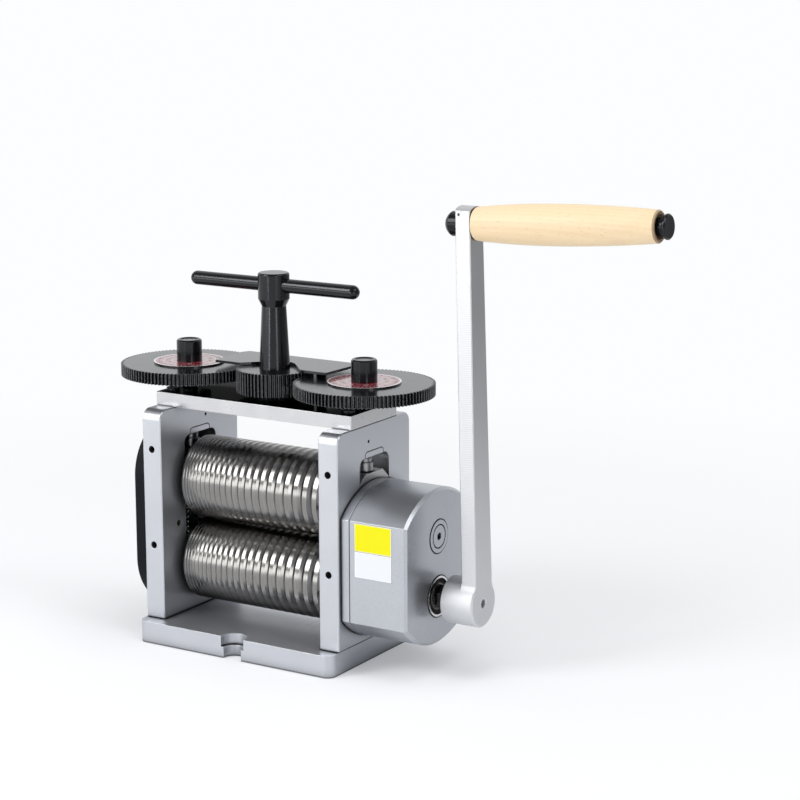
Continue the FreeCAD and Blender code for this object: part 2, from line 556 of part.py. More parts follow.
def plain_cheek():
    """Right cheek before its gearbox holes; the left one is the same piece turned half a turn."""
    half = CHEEK_DEPTH / 2
    cheek = box(INNER_X, OUTER_X, -half, half, BASE_THICKNESS, CHEEK_TOP_Z)
    tops = edges_along(cheek, X_AXIS, lambda middle: middle.z > CHEEK_TOP_Z - 1e-6)
    cheek = cheek.makeFillet(CHEEK_CORNER_RADIUS, tops)
    fronts = edges_along(cheek, Z_AXIS, lambda middle: True)
    cheek = cheek.makeChamfer(CHEEK_EDGE_CHAMFER, fronts)
    feet = [edge for edge in cheek.Edges if edge.BoundBox.ZMax < BASE_THICKNESS + 1e-6]
    cheek = cheek.makeChamfer(CHEEK_FOOT_CHAMFER, feet)
    cheek = cheek.cut(window_outline(WINDOW_WIDTH, WINDOW_BOTTOM_Z, WINDOW_TOP_Z,
                                     WINDOW_CORNER_RADIUS, INNER_X, OUTER_X))
    cheek = cheek.cut(window_outline(NUT_SLOT_WIDTH, WINDOW_TOP_Z - NUT_SLOT_HEIGHT, NUT_SLOT_TOP_Z,
                                     NUT_SLOT_CORNER_RADIUS, INNER_X, OUTER_X))
    pocket_y = NUT_BODY_WIDTH / 2 + NUT_POCKET_CLEARANCE
    pocket_x = NUT_BODY_THICKNESS / 2 + NUT_POCKET_CLEARANCE
    pocket_top = NUT_SLOT_TOP_Z + NUT_BODY_HEIGHT + NUT_POCKET_CLEARANCE
    cheek = cheek.cut(box(SCREW_X - pocket_x, SCREW_X + pocket_x, -pocket_y, pocket_y,
                          NUT_SLOT_TOP_Z, pocket_top))
    cheek = cheek.cut(rod_z(SCREW_HOLE_RADIUS, SCREW_X, 0, NUT_SLOT_TOP_Z, CHEEK_TOP_Z))
    for z in (SIDE_HOLE_LOW_Z, SIDE_HOLE_HIGH_Z):
        for side in (-1, 1):
            mouth = Vector(SCREW_X, side * half, z)
            hole = Part.makeCylinder(SIDE_HOLE_RADIUS, SIDE_HOLE_DEPTH, mouth, Vector(0, -side, 0))
            cheek = cheek.cut(hole)
    oil_z = (NUT_SLOT_TOP_Z + pocket_top) / 2
    cheek = cheek.cut(rod_x(OIL_HOLE_RADIUS, INNER_X, OUTER_X, -OIL_HOLE_Y, oil_z))
    plate_shank, _, _, plate_length = PLATE_SCREW
    plate_reach = CHEEK_TOP_Z - (plate_length - TOP_PLATE_THICKNESS)
    base_shank, _, base_height, base_length = BASE_SCREW
    base_reach = base_height + HEAD_RECESS_CLEARANCE + base_length
    for side in (-1, 1):
        cheek = cheek.cut(rod_z(plate_shank, SCREW_X, side * PLATE_SCREW_Y, plate_reach, CHEEK_TOP_Z))
        cheek = cheek.cut(rod_z(base_shank, SCREW_X, side * BASE_SCREW_Y, BASE_THICKNESS, base_reach))
    return cheek


def box_bolt_places():
    """Centres (y, z) of the four screws that hold the gearbox."""
    heights = (LOWER_ROLL_Z - BOX_BOLT_BEYOND_SHAFTS, LAYSHAFT_Z + BOX_BOLT_BEYOND_SHAFTS)
    return [(side * BOX_BOLT_Y, z) for side in (-1, 1) for z in heights]


def right_cheek():
    """Cheek beside the gearbox, with counterbored holes for the gearbox screws."""
    cheek = plain_cheek()
    shank, head, height = BOX_SCREW
    for y, z in box_bolt_places():
        cheek = cheek.cut(rod_x(shank, INNER_X, OUTER_X, y, z))
        cheek = cheek.cut(rod_x(head + HEAD_RECESS_CLEARANCE, INNER_X,
                                INNER_X + height + HEAD_RECESS_CLEARANCE, y, z))
    return cheek


def left_cheek():
    """Cheek beside the coupling gears, with two holes for the cover's screws."""
    cheek = turned_half(plain_cheek())
    shank = COVER_SCREW[0]
    for side in (-1, 1):
        cheek = cheek.cut(rod_x(shank, -OUTER_X, -INNER_X, side * COVER_POST_Y, COVER_SCREW_Z))
    return cheek


def top_plate():
    """Bridge across the cheeks, bored for the screws and the handle's bush."""
    half = TOP_PLATE_DEPTH / 2
    plate = box(-OUTER_X, OUTER_X, -half, half, CHEEK_TOP_Z, PLATE_TOP_Z)
    plate = plate.makeChamfer(CHEEK_EDGE_CHAMFER, edges_along(plate, Z_AXIS, lambda middle: True))
    bush_radius = HANDLE_JOURNAL_RADIUS + HANDLE_BUSH_WALL
    plate = plate.cut(rod_z(bush_radius, 0, 0, CHEEK_TOP_Z, PLATE_TOP_Z))
    for x in (-SCREW_X, SCREW_X):
        plate = plate.cut(rod_z(SCREW_HOLE_RADIUS, x, 0, CHEEK_TOP_Z, PLATE_TOP_Z))
        for y in (-PLATE_SCREW_Y, PLATE_SCREW_Y):
            plate = plate.cut(rod_z(PLATE_SCREW[0], x, y, CHEEK_TOP_Z, PLATE_TOP_Z))
    root_z = PLATE_TOP_Z - STANDOFF_ROOT
    for x in (-STANDOFF_X, STANDOFF_X):
        plate = plate.cut(rod_z(STANDOFF_RIVET_RADIUS, x, STANDOFF_Y, root_z, PLATE_TOP_Z))
    return plate


def top_plate_screws():
    """Four low-headed screws down into the cheeks."""
    screw = cap_screw(PLATE_SCREW)
    places = [(x, y) for x in (-SCREW_X, SCREW_X) for y in (-PLATE_SCREW_Y, PLATE_SCREW_Y)]
    return group(placed(screw, Vector(x, y, PLATE_TOP_Z)) for x, y in places)


def pressure_nut():
    """Flanged nut in the slot over the right-hand window, bored for the pressure screw."""
    flange = window_outline(NUT_SLOT_WIDTH, WINDOW_TOP_Z, NUT_SLOT_TOP_Z,
                            NUT_SLOT_CORNER_RADIUS, INNER_X, OUTER_X)
    body = box(SCREW_X - NUT_BODY_THICKNESS / 2, SCREW_X + NUT_BODY_THICKNESS / 2,
               -NUT_BODY_WIDTH / 2, NUT_BODY_WIDTH / 2, NUT_SLOT_TOP_Z, NUT_SLOT_TOP_Z + NUT_BODY_HEIGHT)
    bore = rod_z(SCREW_RADIUS + RUNNING_CLEARANCE, SCREW_X, 0, WINDOW_TOP_Z,
                 NUT_SLOT_TOP_Z + NUT_BODY_HEIGHT)
    return flange.fuse(body).removeSplitter().cut(bore)


# ---- bearing blocks -------------------------------------------------------------------------------
def bearing_block(axis_z, below, above, chamfered):
    """Block in the right-hand window, bored for its bush."""
    half = BLOCK_WIDTH / 2
    low = axis_z - below
    top = axis_z + above
    outline = [(-half, low), (half, low), (half, top), (-half, top)]
    if chamfered:
        shoulder = top - BLOCK_CHAMFER_HEIGHT
        crown = half - BLOCK_CHAMFER_WIDTH
        outline = [(-half, low), (half, low), (half, shoulder), (crown, top), (-crown, top),
                   (-half, shoulder)]
    block = slab_x(outline, BLOCK_IN_X, BLOCK_OUT_X)
    return block.cut(rod_x(BUSH_RADIUS, BLOCK_IN_X, BLOCK_OUT_X, 0, axis_z))


def bush_pair(axis_z):
    """Two bronze bushes, one in each cheek's block."""
    bush = ring_x(BUSH_RADIUS, BUSH_BORE_RADIUS, BLOCK_IN_X, BLOCK_OUT_X, 0, axis_z)
    return group((mirrored_x(bush), bush))


def coil_spring(x, y, low, high):
    """Round-wire helix that stands between two heights."""
    bottom = low + SPRING_WIRE_RADIUS + SPRING_END_GAP
    rise = high - low - 2 * (SPRING_WIRE_RADIUS + SPRING_END_GAP)
    helix = Part.makeHelix(rise / SPRING_TURNS, rise, SPRING_RADIUS)
    start = Vector(SPRING_RADIUS, 0, 0)
    climb = Vector(0, 2 * math.pi * SPRING_RADIUS, rise / SPRING_TURNS)
    section = Part.Wire(Part.makeCircle(SPRING_WIRE_RADIUS, start, climb))
    coil = Part.Wire(helix.Edges).makePipeShell([section], True, True)
    coil.translate(Vector(x, y, bottom))
    return coil


def return_springs():
    """Four springs that lift the upper bearing blocks against the pressure screws."""
    places = [(x, y) for x in (-SCREW_X, SCREW_X) for y in (-SPRING_Y, SPRING_Y)]
    return group(coil_spring(x, y, LOWER_BLOCK_TOP_Z, UPPER_BLOCK_BOTTOM_Z) for x, y in places)


# ---- rolls and coupling gears ---------------------------------------------------------------------
def groove_list():
    """Centre and width of every wire groove, from the left end of a roll."""
    grooves = []
    centre = -ROLL_END_X + FIRST_GROOVE_FROM_END
    pitch = FIRST_GROOVE_PITCH
    width = FIRST_GROOVE_WIDTH
    while centre + width / 2 < ROLL_END_X - LAST_LAND_WIDTH:
        grooves.append((centre, width))
        centre += pitch
        pitch += GROOVE_PITCH_STEP
        width += GROOVE_WIDTH_STEP
    return grooves


def roll(axis_z, right_stub):
    """Grooved roll with its collars, journals and the flatted stubs that carry gears."""
    end = ROLL_END_X
    collar = BLOCK_IN_X - COLLAR_GAP
    journal_end = BLOCK_OUT_X - COLLAR_GAP
    coupling_end = COUPLING_OUT_X + CLIP_THICKNESS + STUB_PAST_CLIP
    outline = [(-OUTER_X, 0), (-OUTER_X, JOURNAL_RADIUS), (-collar, JOURNAL_RADIUS),
               (-collar, COLLAR_RADIUS), (-end, COLLAR_RADIUS),
               (-end, ROLL_RADIUS - ROLL_END_CHAMFER), (-end + ROLL_END_CHAMFER, ROLL_RADIUS)]
    for centre, width in groove_list():
        outline.append((centre - width / 2, ROLL_RADIUS))
        outline.append((centre, ROLL_RADIUS - width / 2))
        outline.append((centre + width / 2, ROLL_RADIUS))
    outline += [(end - ROLL_END_CHAMFER, ROLL_RADIUS), (end, ROLL_RADIUS - ROLL_END_CHAMFER),
                (end, COLLAR_RADIUS), (collar, COLLAR_RADIUS), (collar, JOURNAL_RADIUS),
                (journal_end, JOURNAL_RADIUS), (journal_end, 0)]
    body = revolved_x(outline, 0, axis_z)
    body = body.fuse(flatted_stub(-coupling_end, -OUTER_X, 0, axis_z))
    if right_stub:
        body = body.fuse(flatted_stub(journal_end, FINAL_GEAR_X + FINAL_GEAR_WIDTH, 0, axis_z))
    groove = ring_x(STUB_RADIUS, STUB_RADIUS - CLIP_WALL / 2, -COUPLING_OUT_X - CLIP_THICKNESS,
                    -COUPLING_OUT_X, 0, axis_z)
    return body.removeSplitter().cut(groove)


def coupling_gear(axis_z, first_tooth_deg):
    """Long-toothed gear on the left end of a roll; it stays in mesh while the nip opens."""
    gear = gear_z(COUPLING_TEETH, COUPLING_RADIUS, COUPLING_TIP_RADIUS, COUPLING_ROOT_RADIUS,
                  COUPLING_GEAR_WIDTH, COUPLING_BACKLASH, first_tooth_deg)
    gear = laid_along_x(gear, -COUPLING_OUT_X, 0, axis_z)
    return gear.cut(flatted_stub(-COUPLING_OUT_X, -COUPLING_OUT_X + COUPLING_GEAR_WIDTH, 0, axis_z))


def coupling_clip(axis_z):
    """Open retaining ring in the stub's groove, outside the coupling gear."""
    outer = COUPLING_OUT_X + CLIP_THICKNESS
    clip = ring_x(STUB_RADIUS + CLIP_WALL, STUB_RADIUS - CLIP_WALL / 2, -outer, -COUPLING_OUT_X, 0, axis_z)
    gap = box(-outer, -COUPLING_OUT_X, -CLIP_WALL, CLIP_WALL, axis_z, axis_z + 2 * STUB_RADIUS)
    return clip.cut(gap)


def obround_x(radius, x0, x1):
    """Cover outline: two arcs about the gear axes joined by straight sides, along X."""
    low = LOWER_ROLL_Z + COVER_RISE
    high = UPPER_ROLL_Z + COVER_RISE
    middle = box(x0, x1, -radius, radius, low, high)
    ends = rod_x(radius, x0, x1, 0, low).fuse(rod_x(radius, x0, x1, 0, high))
    return middle.fuse(ends).removeSplitter()


def gear_cover():
    """Moulded cover over the coupling gears, with a hollow post for each screw."""
    outer_x = -OUTER_X - COVER_DEPTH
    shell = obround_x(COVER_RADIUS, outer_x, -OUTER_X)
    rim = [edge for edge in shell.Edges if edge.BoundBox.XMax < outer_x + 1e-6]
    shell = shell.makeFillet(COVER_EDGE_RADIUS, rim)
    shell = shell.cut(obround_x(COVER_RADIUS - COVER_WALL, outer_x + COVER_FACE_WALL, -OUTER_X))
    for side in (-1, 1):
        y = side * COVER_POST_Y
        shell = shell.fuse(rod_x(COVER_POST_RADIUS, outer_x + COVER_FACE_WALL, -OUTER_X, y, COVER_SCREW_Z))
    shell = shell.removeSplitter()
    for side in (-1, 1):
        shell = shell.cut(rod_x(COVER_SCREW[0], outer_x, -OUTER_X, side * COVER_POST_Y, COVER_SCREW_Z))
    return shell


def cover_screws():
    """Two screws through the cover's posts into the left cheek."""
    screw = cap_screw(COVER_SCREW)
    seat_x = -OUTER_X - COVER_DEPTH
    return group(placed(screw, Vector(seat_x, side * COVER_POST_Y, COVER_SCREW_Z), Vector(-1, 0, 0))
                 for side in (-1, 1))


# ---- gearbox --------------------------------------------------------------------------------------
def box_profile(inset, x0, x1):
    """The gearbox's outline along X: flat front and back, two shallow arcs above and below."""
    upper = rod_x(BOX_ARC_RADIUS - inset, x0, x1, 0, BOX_AXIS_Z - BOX_ARC_OFFSET)
    lower = rod_x(BOX_ARC_RADIUS - inset, x0, x1, 0, BOX_AXIS_Z + BOX_ARC_OFFSET)
    flat = BOX_FLAT_Y - inset
    reach = 2 * BOX_ARC_RADIUS
    sides = box(x0, x1, -flat, flat, BOX_AXIS_Z - reach, BOX_AXIS_Z + reach)
    return upper.common(lower).common(sides)


def gearbox_flange():
    """Plate between cheek and housing: roll passes through it, layshaft ends in it."""
    flange = box_profile(0, OUTER_X, BOX_SPLIT_X)
    joint = [edge for edge in flange.Edges if edge.BoundBox.XMin > BOX_SPLIT_X - 1e-6]
    flange = flange.makeChamfer(BOX_JOINT_CHAMFER, joint)
    flange = flange.cut(rod_x(STUB_RADIUS + SCREW_HOLE_CLEARANCE, OUTER_X, BOX_SPLIT_X, 0, LOWER_ROLL_Z))
    flange = flange.cut(rod_x(LAYSHAFT_RADIUS + LAYSHAFT_BUSH_WALL, OUTER_X, BOX_SPLIT_X, 0, LAYSHAFT_Z))
    for y, z in box_bolt_places():
        flange = flange.cut(rod_x(BOX_SCREW[0], OUTER_X, BOX_SPLIT_X, y, z))
    return flange


def gearbox_housing():
    """Drum-shaped housing with bosses for the crank bearing, the layshaft and the screws."""
    housing = box_profile(0, BOX_SPLIT_X, BOX_END_X)
    rim = [edge for edge in housing.Edges if edge.BoundBox.XMin > BOX_END_X - 1e-6]
    housing = housing.makeChamfer(BOX_EDGE_CHAMFER, rim)
    joint = [edge for edge in housing.Edges if edge.BoundBox.XMax < BOX_SPLIT_X + 1e-6]
    housing = housing.makeChamfer(BOX_JOINT_CHAMFER, joint)
    housing = housing.cut(box_profile(BOX_WALL, BOX_SPLIT_X, BOX_CAVITY_END_X))
    boss_end = BOX_SPLIT_X + BOX_BOLT_REACH + BOX_BOLT_BOSS_BOTTOM
    bosses = [rod_x(BOX_BOLT_BOSS_RADIUS, BOX_SPLIT_X, boss_end, y, z) for y, z in box_bolt_places()]
    bosses.append(rod_x(CRANK_BEARING_RADIUS + CRANK_BOSS_WALL, CRANK_BEARING_X, BOX_END_X, 0, LOWER_ROLL_Z))
    layshaft_x = BOX_END_X - PLUG_LENGTH - LAYSHAFT_BUSH_LENGTH
    bosses.append(rod_x(LAYSHAFT_BOSS_RADIUS, layshaft_x, BOX_CAVITY_END_X, 0, LAYSHAFT_Z))
    inside = box_profile(BOX_WALL / 2, BOX_SPLIT_X, BOX_END_X - BOX_END_WALL / 2)
    for boss in bosses:
        housing = housing.fuse(boss.common(inside))
    housing = housing.removeSplitter()
    housing = housing.cut(rod_x(CRANK_BEARING_RADIUS, CRANK_BEARING_X, BOX_END_X, 0, LOWER_ROLL_Z))
    for radius, z in ((CRANK_BEARING_RADIUS, LOWER_ROLL_Z), (PLUG_RADIUS, LAYSHAFT_Z)):
        groove = rod_x(radius + RIM_GROOVE_WIDTH, BOX_END_X - RIM_GROOVE_DEPTH, BOX_END_X, 0, z)
        housing = housing.cut(groove)
    housing = housing.cut(rod_x(LAYSHAFT_RADIUS + LAYSHAFT_BUSH_WALL, layshaft_x,
                                BOX_END_X - PLUG_LENGTH, 0, LAYSHAFT_Z))
    housing = housing.cut(rod_x(PLUG_RADIUS, BOX_END_X - PLUG_LENGTH, BOX_END_X, 0, LAYSHAFT_Z))
    for y, z in box_bolt_places():
        housing = housing.cut(rod_x(BOX_SCREW[0], BOX_SPLIT_X, BOX_SPLIT_X + BOX_BOLT_REACH, y, z))
    return housing


def housing_screws():
    """Four screws from inside the right cheek, through the flange, into the housing's bosses."""
    seat_x = INNER_X + BOX_SCREW[2] + HEAD_RECESS_CLEARANCE
    length = BOX_SPLIT_X + BOX_BOLT_REACH - seat_x
    screw = cap_screw(BOX_SCREW + (length,))
    return group(placed(screw, Vector(seat_x, y, z), Vector(-1, 0, 0)) for y, z in box_bolt_places())


def layshaft_bushes():
    """Bronze bushes for the layshaft, one in the flange and one in the housing."""
    outer = LAYSHAFT_RADIUS + LAYSHAFT_BUSH_WALL
    bore = LAYSHAFT_RADIUS + RUNNING_CLEARANCE
    far_x = BOX_END_X - PLUG_LENGTH - LAYSHAFT_BUSH_LENGTH
    return group((ring_x(outer, bore, OUTER_X, BOX_SPLIT_X, 0, LAYSHAFT_Z),
                  ring_x(outer, bore, far_x, far_x + LAYSHAFT_BUSH_LENGTH, 0, LAYSHAFT_Z)))


def layshaft_plug():
    """Screwed plug that closes the layshaft's bore, with a ring groove and a hexagon socket."""
    face_x = BOX_END_X + PLUG_PROUD
    plug = rod_x(PLUG_RADIUS, BOX_END_X - PLUG_LENGTH, face_x, 0, LAYSHAFT_Z)
    groove = ring_x(PLUG_GROOVE_RADIUS, PLUG_GROOVE_RADIUS - PLUG_GROOVE_WIDTH,
                    face_x - PLUG_GROOVE_DEPTH, face_x, 0, LAYSHAFT_Z)
    socket = hex_x(PLUG_HEX_ACROSS, face_x - PLUG_HEX_DEPTH, face_x, 0, LAYSHAFT_Z)
    return plug.cut(groove).cut(socket)


def crank_bearing():
    """Steel bearing sleeve in the housing, recessed for the shaft seal."""
    face_x = BOX_END_X + BEARING_PROUD
    sleeve = ring_x(CRANK_BEARING_RADIUS, CRANK_SHAFT_RADIUS + RUNNING_CLEARANCE,
                    CRANK_BEARING_X, face_x, 0, LOWER_ROLL_Z)
    seat = rod_x(SEAL_RADIUS, face_x - SEAL_RECESS - SEAL_DEPTH, face_x, 0, LOWER_ROLL_Z)
    return sleeve.cut(seat)


def shaft_seal():
    """Rubber ring round the crank shaft, in the bearing's recess."""
    outer_x = BOX_END_X + BEARING_PROUD - SEAL_RECESS
    return ring_x(SEAL_RADIUS, CRANK_SHAFT_RADIUS + RUNNING_CLEARANCE, outer_x - SEAL_DEPTH, outer_x,
                  0, LOWER_ROLL_Z)


def final_gear():
    """Gear on the lower roll, driven by the layshaft."""
    teeth = SECOND_STAGE_TEETH[1]
    gear = standard_gear_z(teeth, SECOND_MODULE, FINAL_GEAR_WIDTH, COUPLING_BACKLASH, 180 + 180 / teeth)
    gear = laid_along_x(gear, FINAL_GEAR_X, 0, LOWER_ROLL_Z)
    return gear.cut(flatted_stub(FINAL_GEAR_X, FINAL_GEAR_X + FINAL_GEAR_WIDTH, 0, LOWER_ROLL_Z))


def layshaft():
    """Shaft above the crank that carries the middle gear and pinion."""
    inner_x = OUTER_X + COLLAR_GAP
    return rod_x(LAYSHAFT_RADIUS, inner_x, BOX_END_X - PLUG_LENGTH - COLLAR_GAP, 0, LAYSHAFT_Z)


def layshaft_pinion():
    """Small gear on the layshaft that drives the final gear."""
    gear = standard_gear_z(SECOND_STAGE_TEETH[0], SECOND_MODULE, FINAL_GEAR_WIDTH, COUPLING_BACKLASH)
    gear = laid_along_x(gear, FINAL_GEAR_X, 0, LAYSHAFT_Z)
    return gear.cut(rod_x(LAYSHAFT_RADIUS, FINAL_GEAR_X, FINAL_GEAR_X + FINAL_GEAR_WIDTH, 0, LAYSHAFT_Z))


def layshaft_gear():
    """Large gear on the layshaft, driven by the crank pinion."""
    teeth = FIRST_STAGE_TEETH[1]
    gear = standard_gear_z(teeth, FIRST_MODULE, FIRST_GEAR_WIDTH, COUPLING_BACKLASH, 180 / teeth)
    gear = laid_along_x(gear, FIRST_GEAR_X, 0, LAYSHAFT_Z)
    return gear.cut(rod_x(LAYSHAFT_RADIUS, FIRST_GEAR_X, FIRST_GEAR_X + FIRST_GEAR_WIDTH, 0, LAYSHAFT_Z))


def crank_pinion():
    """Small gear on the inner end of the crank shaft."""
    gear = standard_gear_z(FIRST_STAGE_TEETH[0], FIRST_MODULE, FIRST_GEAR_WIDTH, COUPLING_BACKLASH, 180)
    gear = laid_along_x(gear, FIRST_GEAR_X, 0, LOWER_ROLL_Z)
    seat = rod_x(CRANK_PINION_SEAT_RADIUS, FIRST_GEAR_X, FIRST_GEAR_X + FIRST_GEAR_WIDTH, 0, LOWER_ROLL_Z)
    return gear.cut(seat)


# ---- crank ----------------------------------------------------------------------------------------
def crank_shaft():
    """Input shaft: pinion seat inside, round journal, hexagon for the crank outside."""
    seat_end = FIRST_GEAR_X + FIRST_GEAR_WIDTH
    shaft = rod_x(CRANK_PINION_SEAT_RADIUS, FIRST_GEAR_X - BOX_GEAR_GAP / 2, seat_end, 0, LOWER_ROLL_Z)
    journal = rod_x(CRANK_SHAFT_RADIUS, seat_end, BOX_END_X + BEARING_PROUD, 0, LOWER_ROLL_Z)
    shoulder = [edge for edge in journal.Edges if edge.BoundBox.XMin > BOX_END_X]
    shaft = shaft.fuse(journal.makeChamfer(CRANK_SHOULDER_CHAMFER, shoulder))
    hexagon = hex_x(CRANK_HEX_ACROSS, BOX_END_X + BEARING_PROUD, CRANK_HEX_END_X, 0, LOWER_ROLL_Z)
    return shaft.fuse(hexagon)


def arm_face_x(height, outer):
    """X of the arm's inner or outer face at a height above the crank axis."""
    face = CRANK_END_X - (0 if outer else ARM_THICKNESS)
    return face - max(0.0, height - ARM_BEND_HEIGHT) * math.tan(math.radians(ARM_LEAN_DEG))


def grip_point(along):
    """A point on the grip's axis, this far out from the arm's outer face."""
    return Vector(arm_face_x(GRIP_AXIS_RADIUS, True), 0, GRIP_AXIS_Z) + GRIP_AXIS * along


def arm_root(half_width):
    """Hollow curves that carry both sides of the arm into the boss, along the arm's thickness."""
    centre_y = half_width + ARM_ROOT_RADIUS
    from_axis = CRANK_BOSS_RADIUS + ARM_ROOT_RADIUS
    rise = math.sqrt(from_axis ** 2 - centre_y ** 2)
    touch_z = LOWER_ROLL_Z + rise * CRANK_BOSS_RADIUS / from_axis
    centre_z = LOWER_ROLL_Z + rise
    root = box(arm_face_x(0, False), CRANK_END_X, -centre_y, centre_y, touch_z, centre_z)
    for y in (-centre_y, centre_y):
        root = root.cut(rod_x(ARM_ROOT_RADIUS, arm_face_x(0, False), CRANK_END_X, y, centre_z))
    outer = [edge for edge in root.Edges
             if edge.BoundBox.XMin > CRANK_END_X - 1e-6 and not isinstance(edge.Curve, Part.Line)]
    return root.makeChamfer(ARM_EDGE_CHAMFER, outer)


def crank_arm():
    """Round boss and a tapering flat arm that leans in towards the mill."""
    reach = ARM_LENGTH + ARM_THICKNESS
    side = [(arm_face_x(0, False), 0), (arm_face_x(0, True), 0),
            (arm_face_x(ARM_BEND_HEIGHT, True), ARM_BEND_HEIGHT), (arm_face_x(reach, True), reach),
            (arm_face_x(reach, False), reach), (arm_face_x(ARM_BEND_HEIGHT, False), ARM_BEND_HEIGHT)]
    corners = [Vector(x, -CRANK_BOSS_RADIUS, LOWER_ROLL_Z + z) for x, z in side]
    bar = Part.Face(Part.makePolygon(corners + corners[:1])).extrude(Vector(0, 2 * CRANK_BOSS_RADIUS, 0))
    foot_half = ARM_FOOT_WIDTH / 2
    top_half = ARM_TOP_WIDTH / 2
    shoulder_z = ARM_TOP_Z - ARM_TOP_ARC_RADIUS + math.sqrt(ARM_TOP_ARC_RADIUS ** 2 - top_half ** 2)
    inner_x = arm_face_x(reach, False)
    front_foot = Vector(inner_x, -foot_half, LOWER_ROLL_Z)
    back_foot = Vector(inner_x, foot_half, LOWER_ROLL_Z)
    front_top = Vector(inner_x, -top_half, shoulder_z)
    back_top = Vector(inner_x, top_half, shoulder_z)
    crown = Part.Arc(back_top, Vector(inner_x, 0, ARM_TOP_Z), front_top).toShape()
    front = Part.Wire([Part.makeLine(front_foot, back_foot), Part.makeLine(back_foot, back_top), crown,
                       Part.makeLine(front_top, front_foot)])
    arm = bar.common(Part.Face(front).extrude(Vector(CRANK_END_X - inner_x, 0, 0)))
    long_edges = [edge for edge in arm.Edges if edge.BoundBox.ZLength > ARM_LENGTH / 2]
    arm = arm.makeChamfer(ARM_EDGE_CHAMFER, long_edges)
    boss = rod_x(CRANK_BOSS_RADIUS, CRANK_BOSS_X, CRANK_END_X, 0, LOWER_ROLL_Z)
    rim = [edge for edge in boss.Edges if edge.BoundBox.XMin > CRANK_END_X - 1e-6]
    slope = (foot_half - top_half) / (shoulder_z - LOWER_ROLL_Z)
    root = arm_root(foot_half - slope * CRANK_BOSS_RADIUS)
    crank = boss.makeChamfer(CRANK_BOSS_CHAMFER, rim).fuse(arm).fuse(root).removeSplitter()
    crank = crank.cut(hex_x(CRANK_HEX_ACROSS, CRANK_BOSS_X, CRANK_HEX_END_X, 0, LOWER_ROLL_Z))
    crank = crank.cut(rod_x(CRANK_SCREW_RADIUS, CRANK_HEX_END_X, CRANK_END_X, 0, LOWER_ROLL_Z))
    mouth = Vector(CRANK_END_X - CRANK_SCREW_CHAMFER, 0, LOWER_ROLL_Z)
    crank = crank.cut(Part.makeCone(CRANK_SCREW_RADIUS, CRANK_SCREW_RADIUS + CRANK_SCREW_CHAMFER,
                                    CRANK_SCREW_CHAMFER, mouth, X_AXIS))
    start = grip_point(-2 * ARM_THICKNESS)
    crank = crank.cut(Part.makeCylinder(GRIP_BOLT_RADIUS, 3 * ARM_THICKNESS, start, GRIP_AXIS))
    pin_x = arm_face_x(GRIP_AXIS_RADIUS, False) + ARM_PIN_INSET
    pin_mouth = Vector(pin_x, -foot_half, GRIP_AXIS_Z + ARM_PIN_RISE)
    pin_length = foot_half - top_half + ARM_PIN_DEPTH
    return crank.cut(Part.makeCylinder(ARM_PIN_RADIUS, pin_length, pin_mouth, Y_AXIS))


def crank_set_screw():
    """Socket screw in the end of the boss that holds the crank on its hexagon."""
    outer_x = CRANK_END_X - CRANK_SCREW_RECESS
    socket_x = outer_x - CRANK_SCREW_HEX_DEPTH
    screw = rod_x(CRANK_SCREW_RADIUS, CRANK_HEX_END_X, outer_x, 0, LOWER_ROLL_Z)
    return screw.cut(hex_x(CRANK_SCREW_HEX_ACROSS, socket_x, outer_x, 0, LOWER_ROLL_Z))


def dome_z(radius, height, base_z):
    """Spherical cap that stands on base_z, rising along +Z."""
    ball = (radius ** 2 + height ** 2) / (2 * height)
    sphere = Part.makeSphere(ball, Vector(0, 0, base_z + height - ball))
    return sphere.common(rod_z(radius, 0, 0, base_z, base_z + height))


def grip_bolt():
    """Domed bolt from the arm's inner face, right through the grip and into its cap."""
    lean = math.tan(math.radians(ARM_LEAN_DEG))
    seat = ARM_THICKNESS / (GRIP_AXIS.x + GRIP_AXIS.z * lean) + GRIP_SEAT_GAP
    inner = grip_point(-seat)
    head = rod_z(BOLT_HEAD_RADIUS, 0, 0, 0, BOLT_HEAD_STRAIGHT)
    head = head.fuse(dome_z(BOLT_HEAD_RADIUS, BOLT_HEAD_DOME, BOLT_HEAD_STRAIGHT)).removeSplitter()
    head = placed(head, inner, GRIP_AXIS * -1)
    length = seat + GRIP_ARM_GAP + GRIP_LENGTH + CAP_GAP + CAP_THICKNESS / 2
    shank = Part.makeCylinder(GRIP_BOLT_RADIUS, length, inner, GRIP_AXIS)
    return head.fuse(shank)


def grip_cap():
    """Round cap nut on the bolt's outer end, with a neck that reaches into the grip's recess."""
    neck = CAP_GAP + GRIP_RECESS_DEPTH - CAP_NECK_FLOOR_GAP
    cap = rod_z(CAP_RADIUS, 0, 0, 0, CAP_THICKNESS)
    rims = [edge for edge in cap.Edges if edge.BoundBox.ZLength < 1e-6]
    cap = cap.makeChamfer(CAP_EDGE_CHAMFER, rims)
    cap = cap.fuse(rod_z(CAP_NECK_RADIUS, 0, 0, -neck, 0)).removeSplitter()
    cap = cap.cut(rod_z(GRIP_BOLT_RADIUS, 0, 0, -neck, CAP_THICKNESS / 2))
    return placed(cap, grip_point(GRIP_ARM_GAP + GRIP_LENGTH + CAP_GAP), GRIP_AXIS)


def arc_to_belly(start, belly):
    """Arc from one (radius, z) point to another where it runs parallel to the axis."""
    radius, z = start
    belly_radius, belly_z = belly
    run = belly_z - z
    rise = belly_radius - radius
    bend = (run ** 2 + rise ** 2) / (2 * rise)
    half_run = run / 2
    middle_radius = belly_radius - bend + math.sqrt(bend ** 2 - half_run ** 2)
    return [Vector(radius, 0, z), Vector(middle_radius, 0, belly_z - half_run),
            Vector(belly_radius, 0, belly_z)]


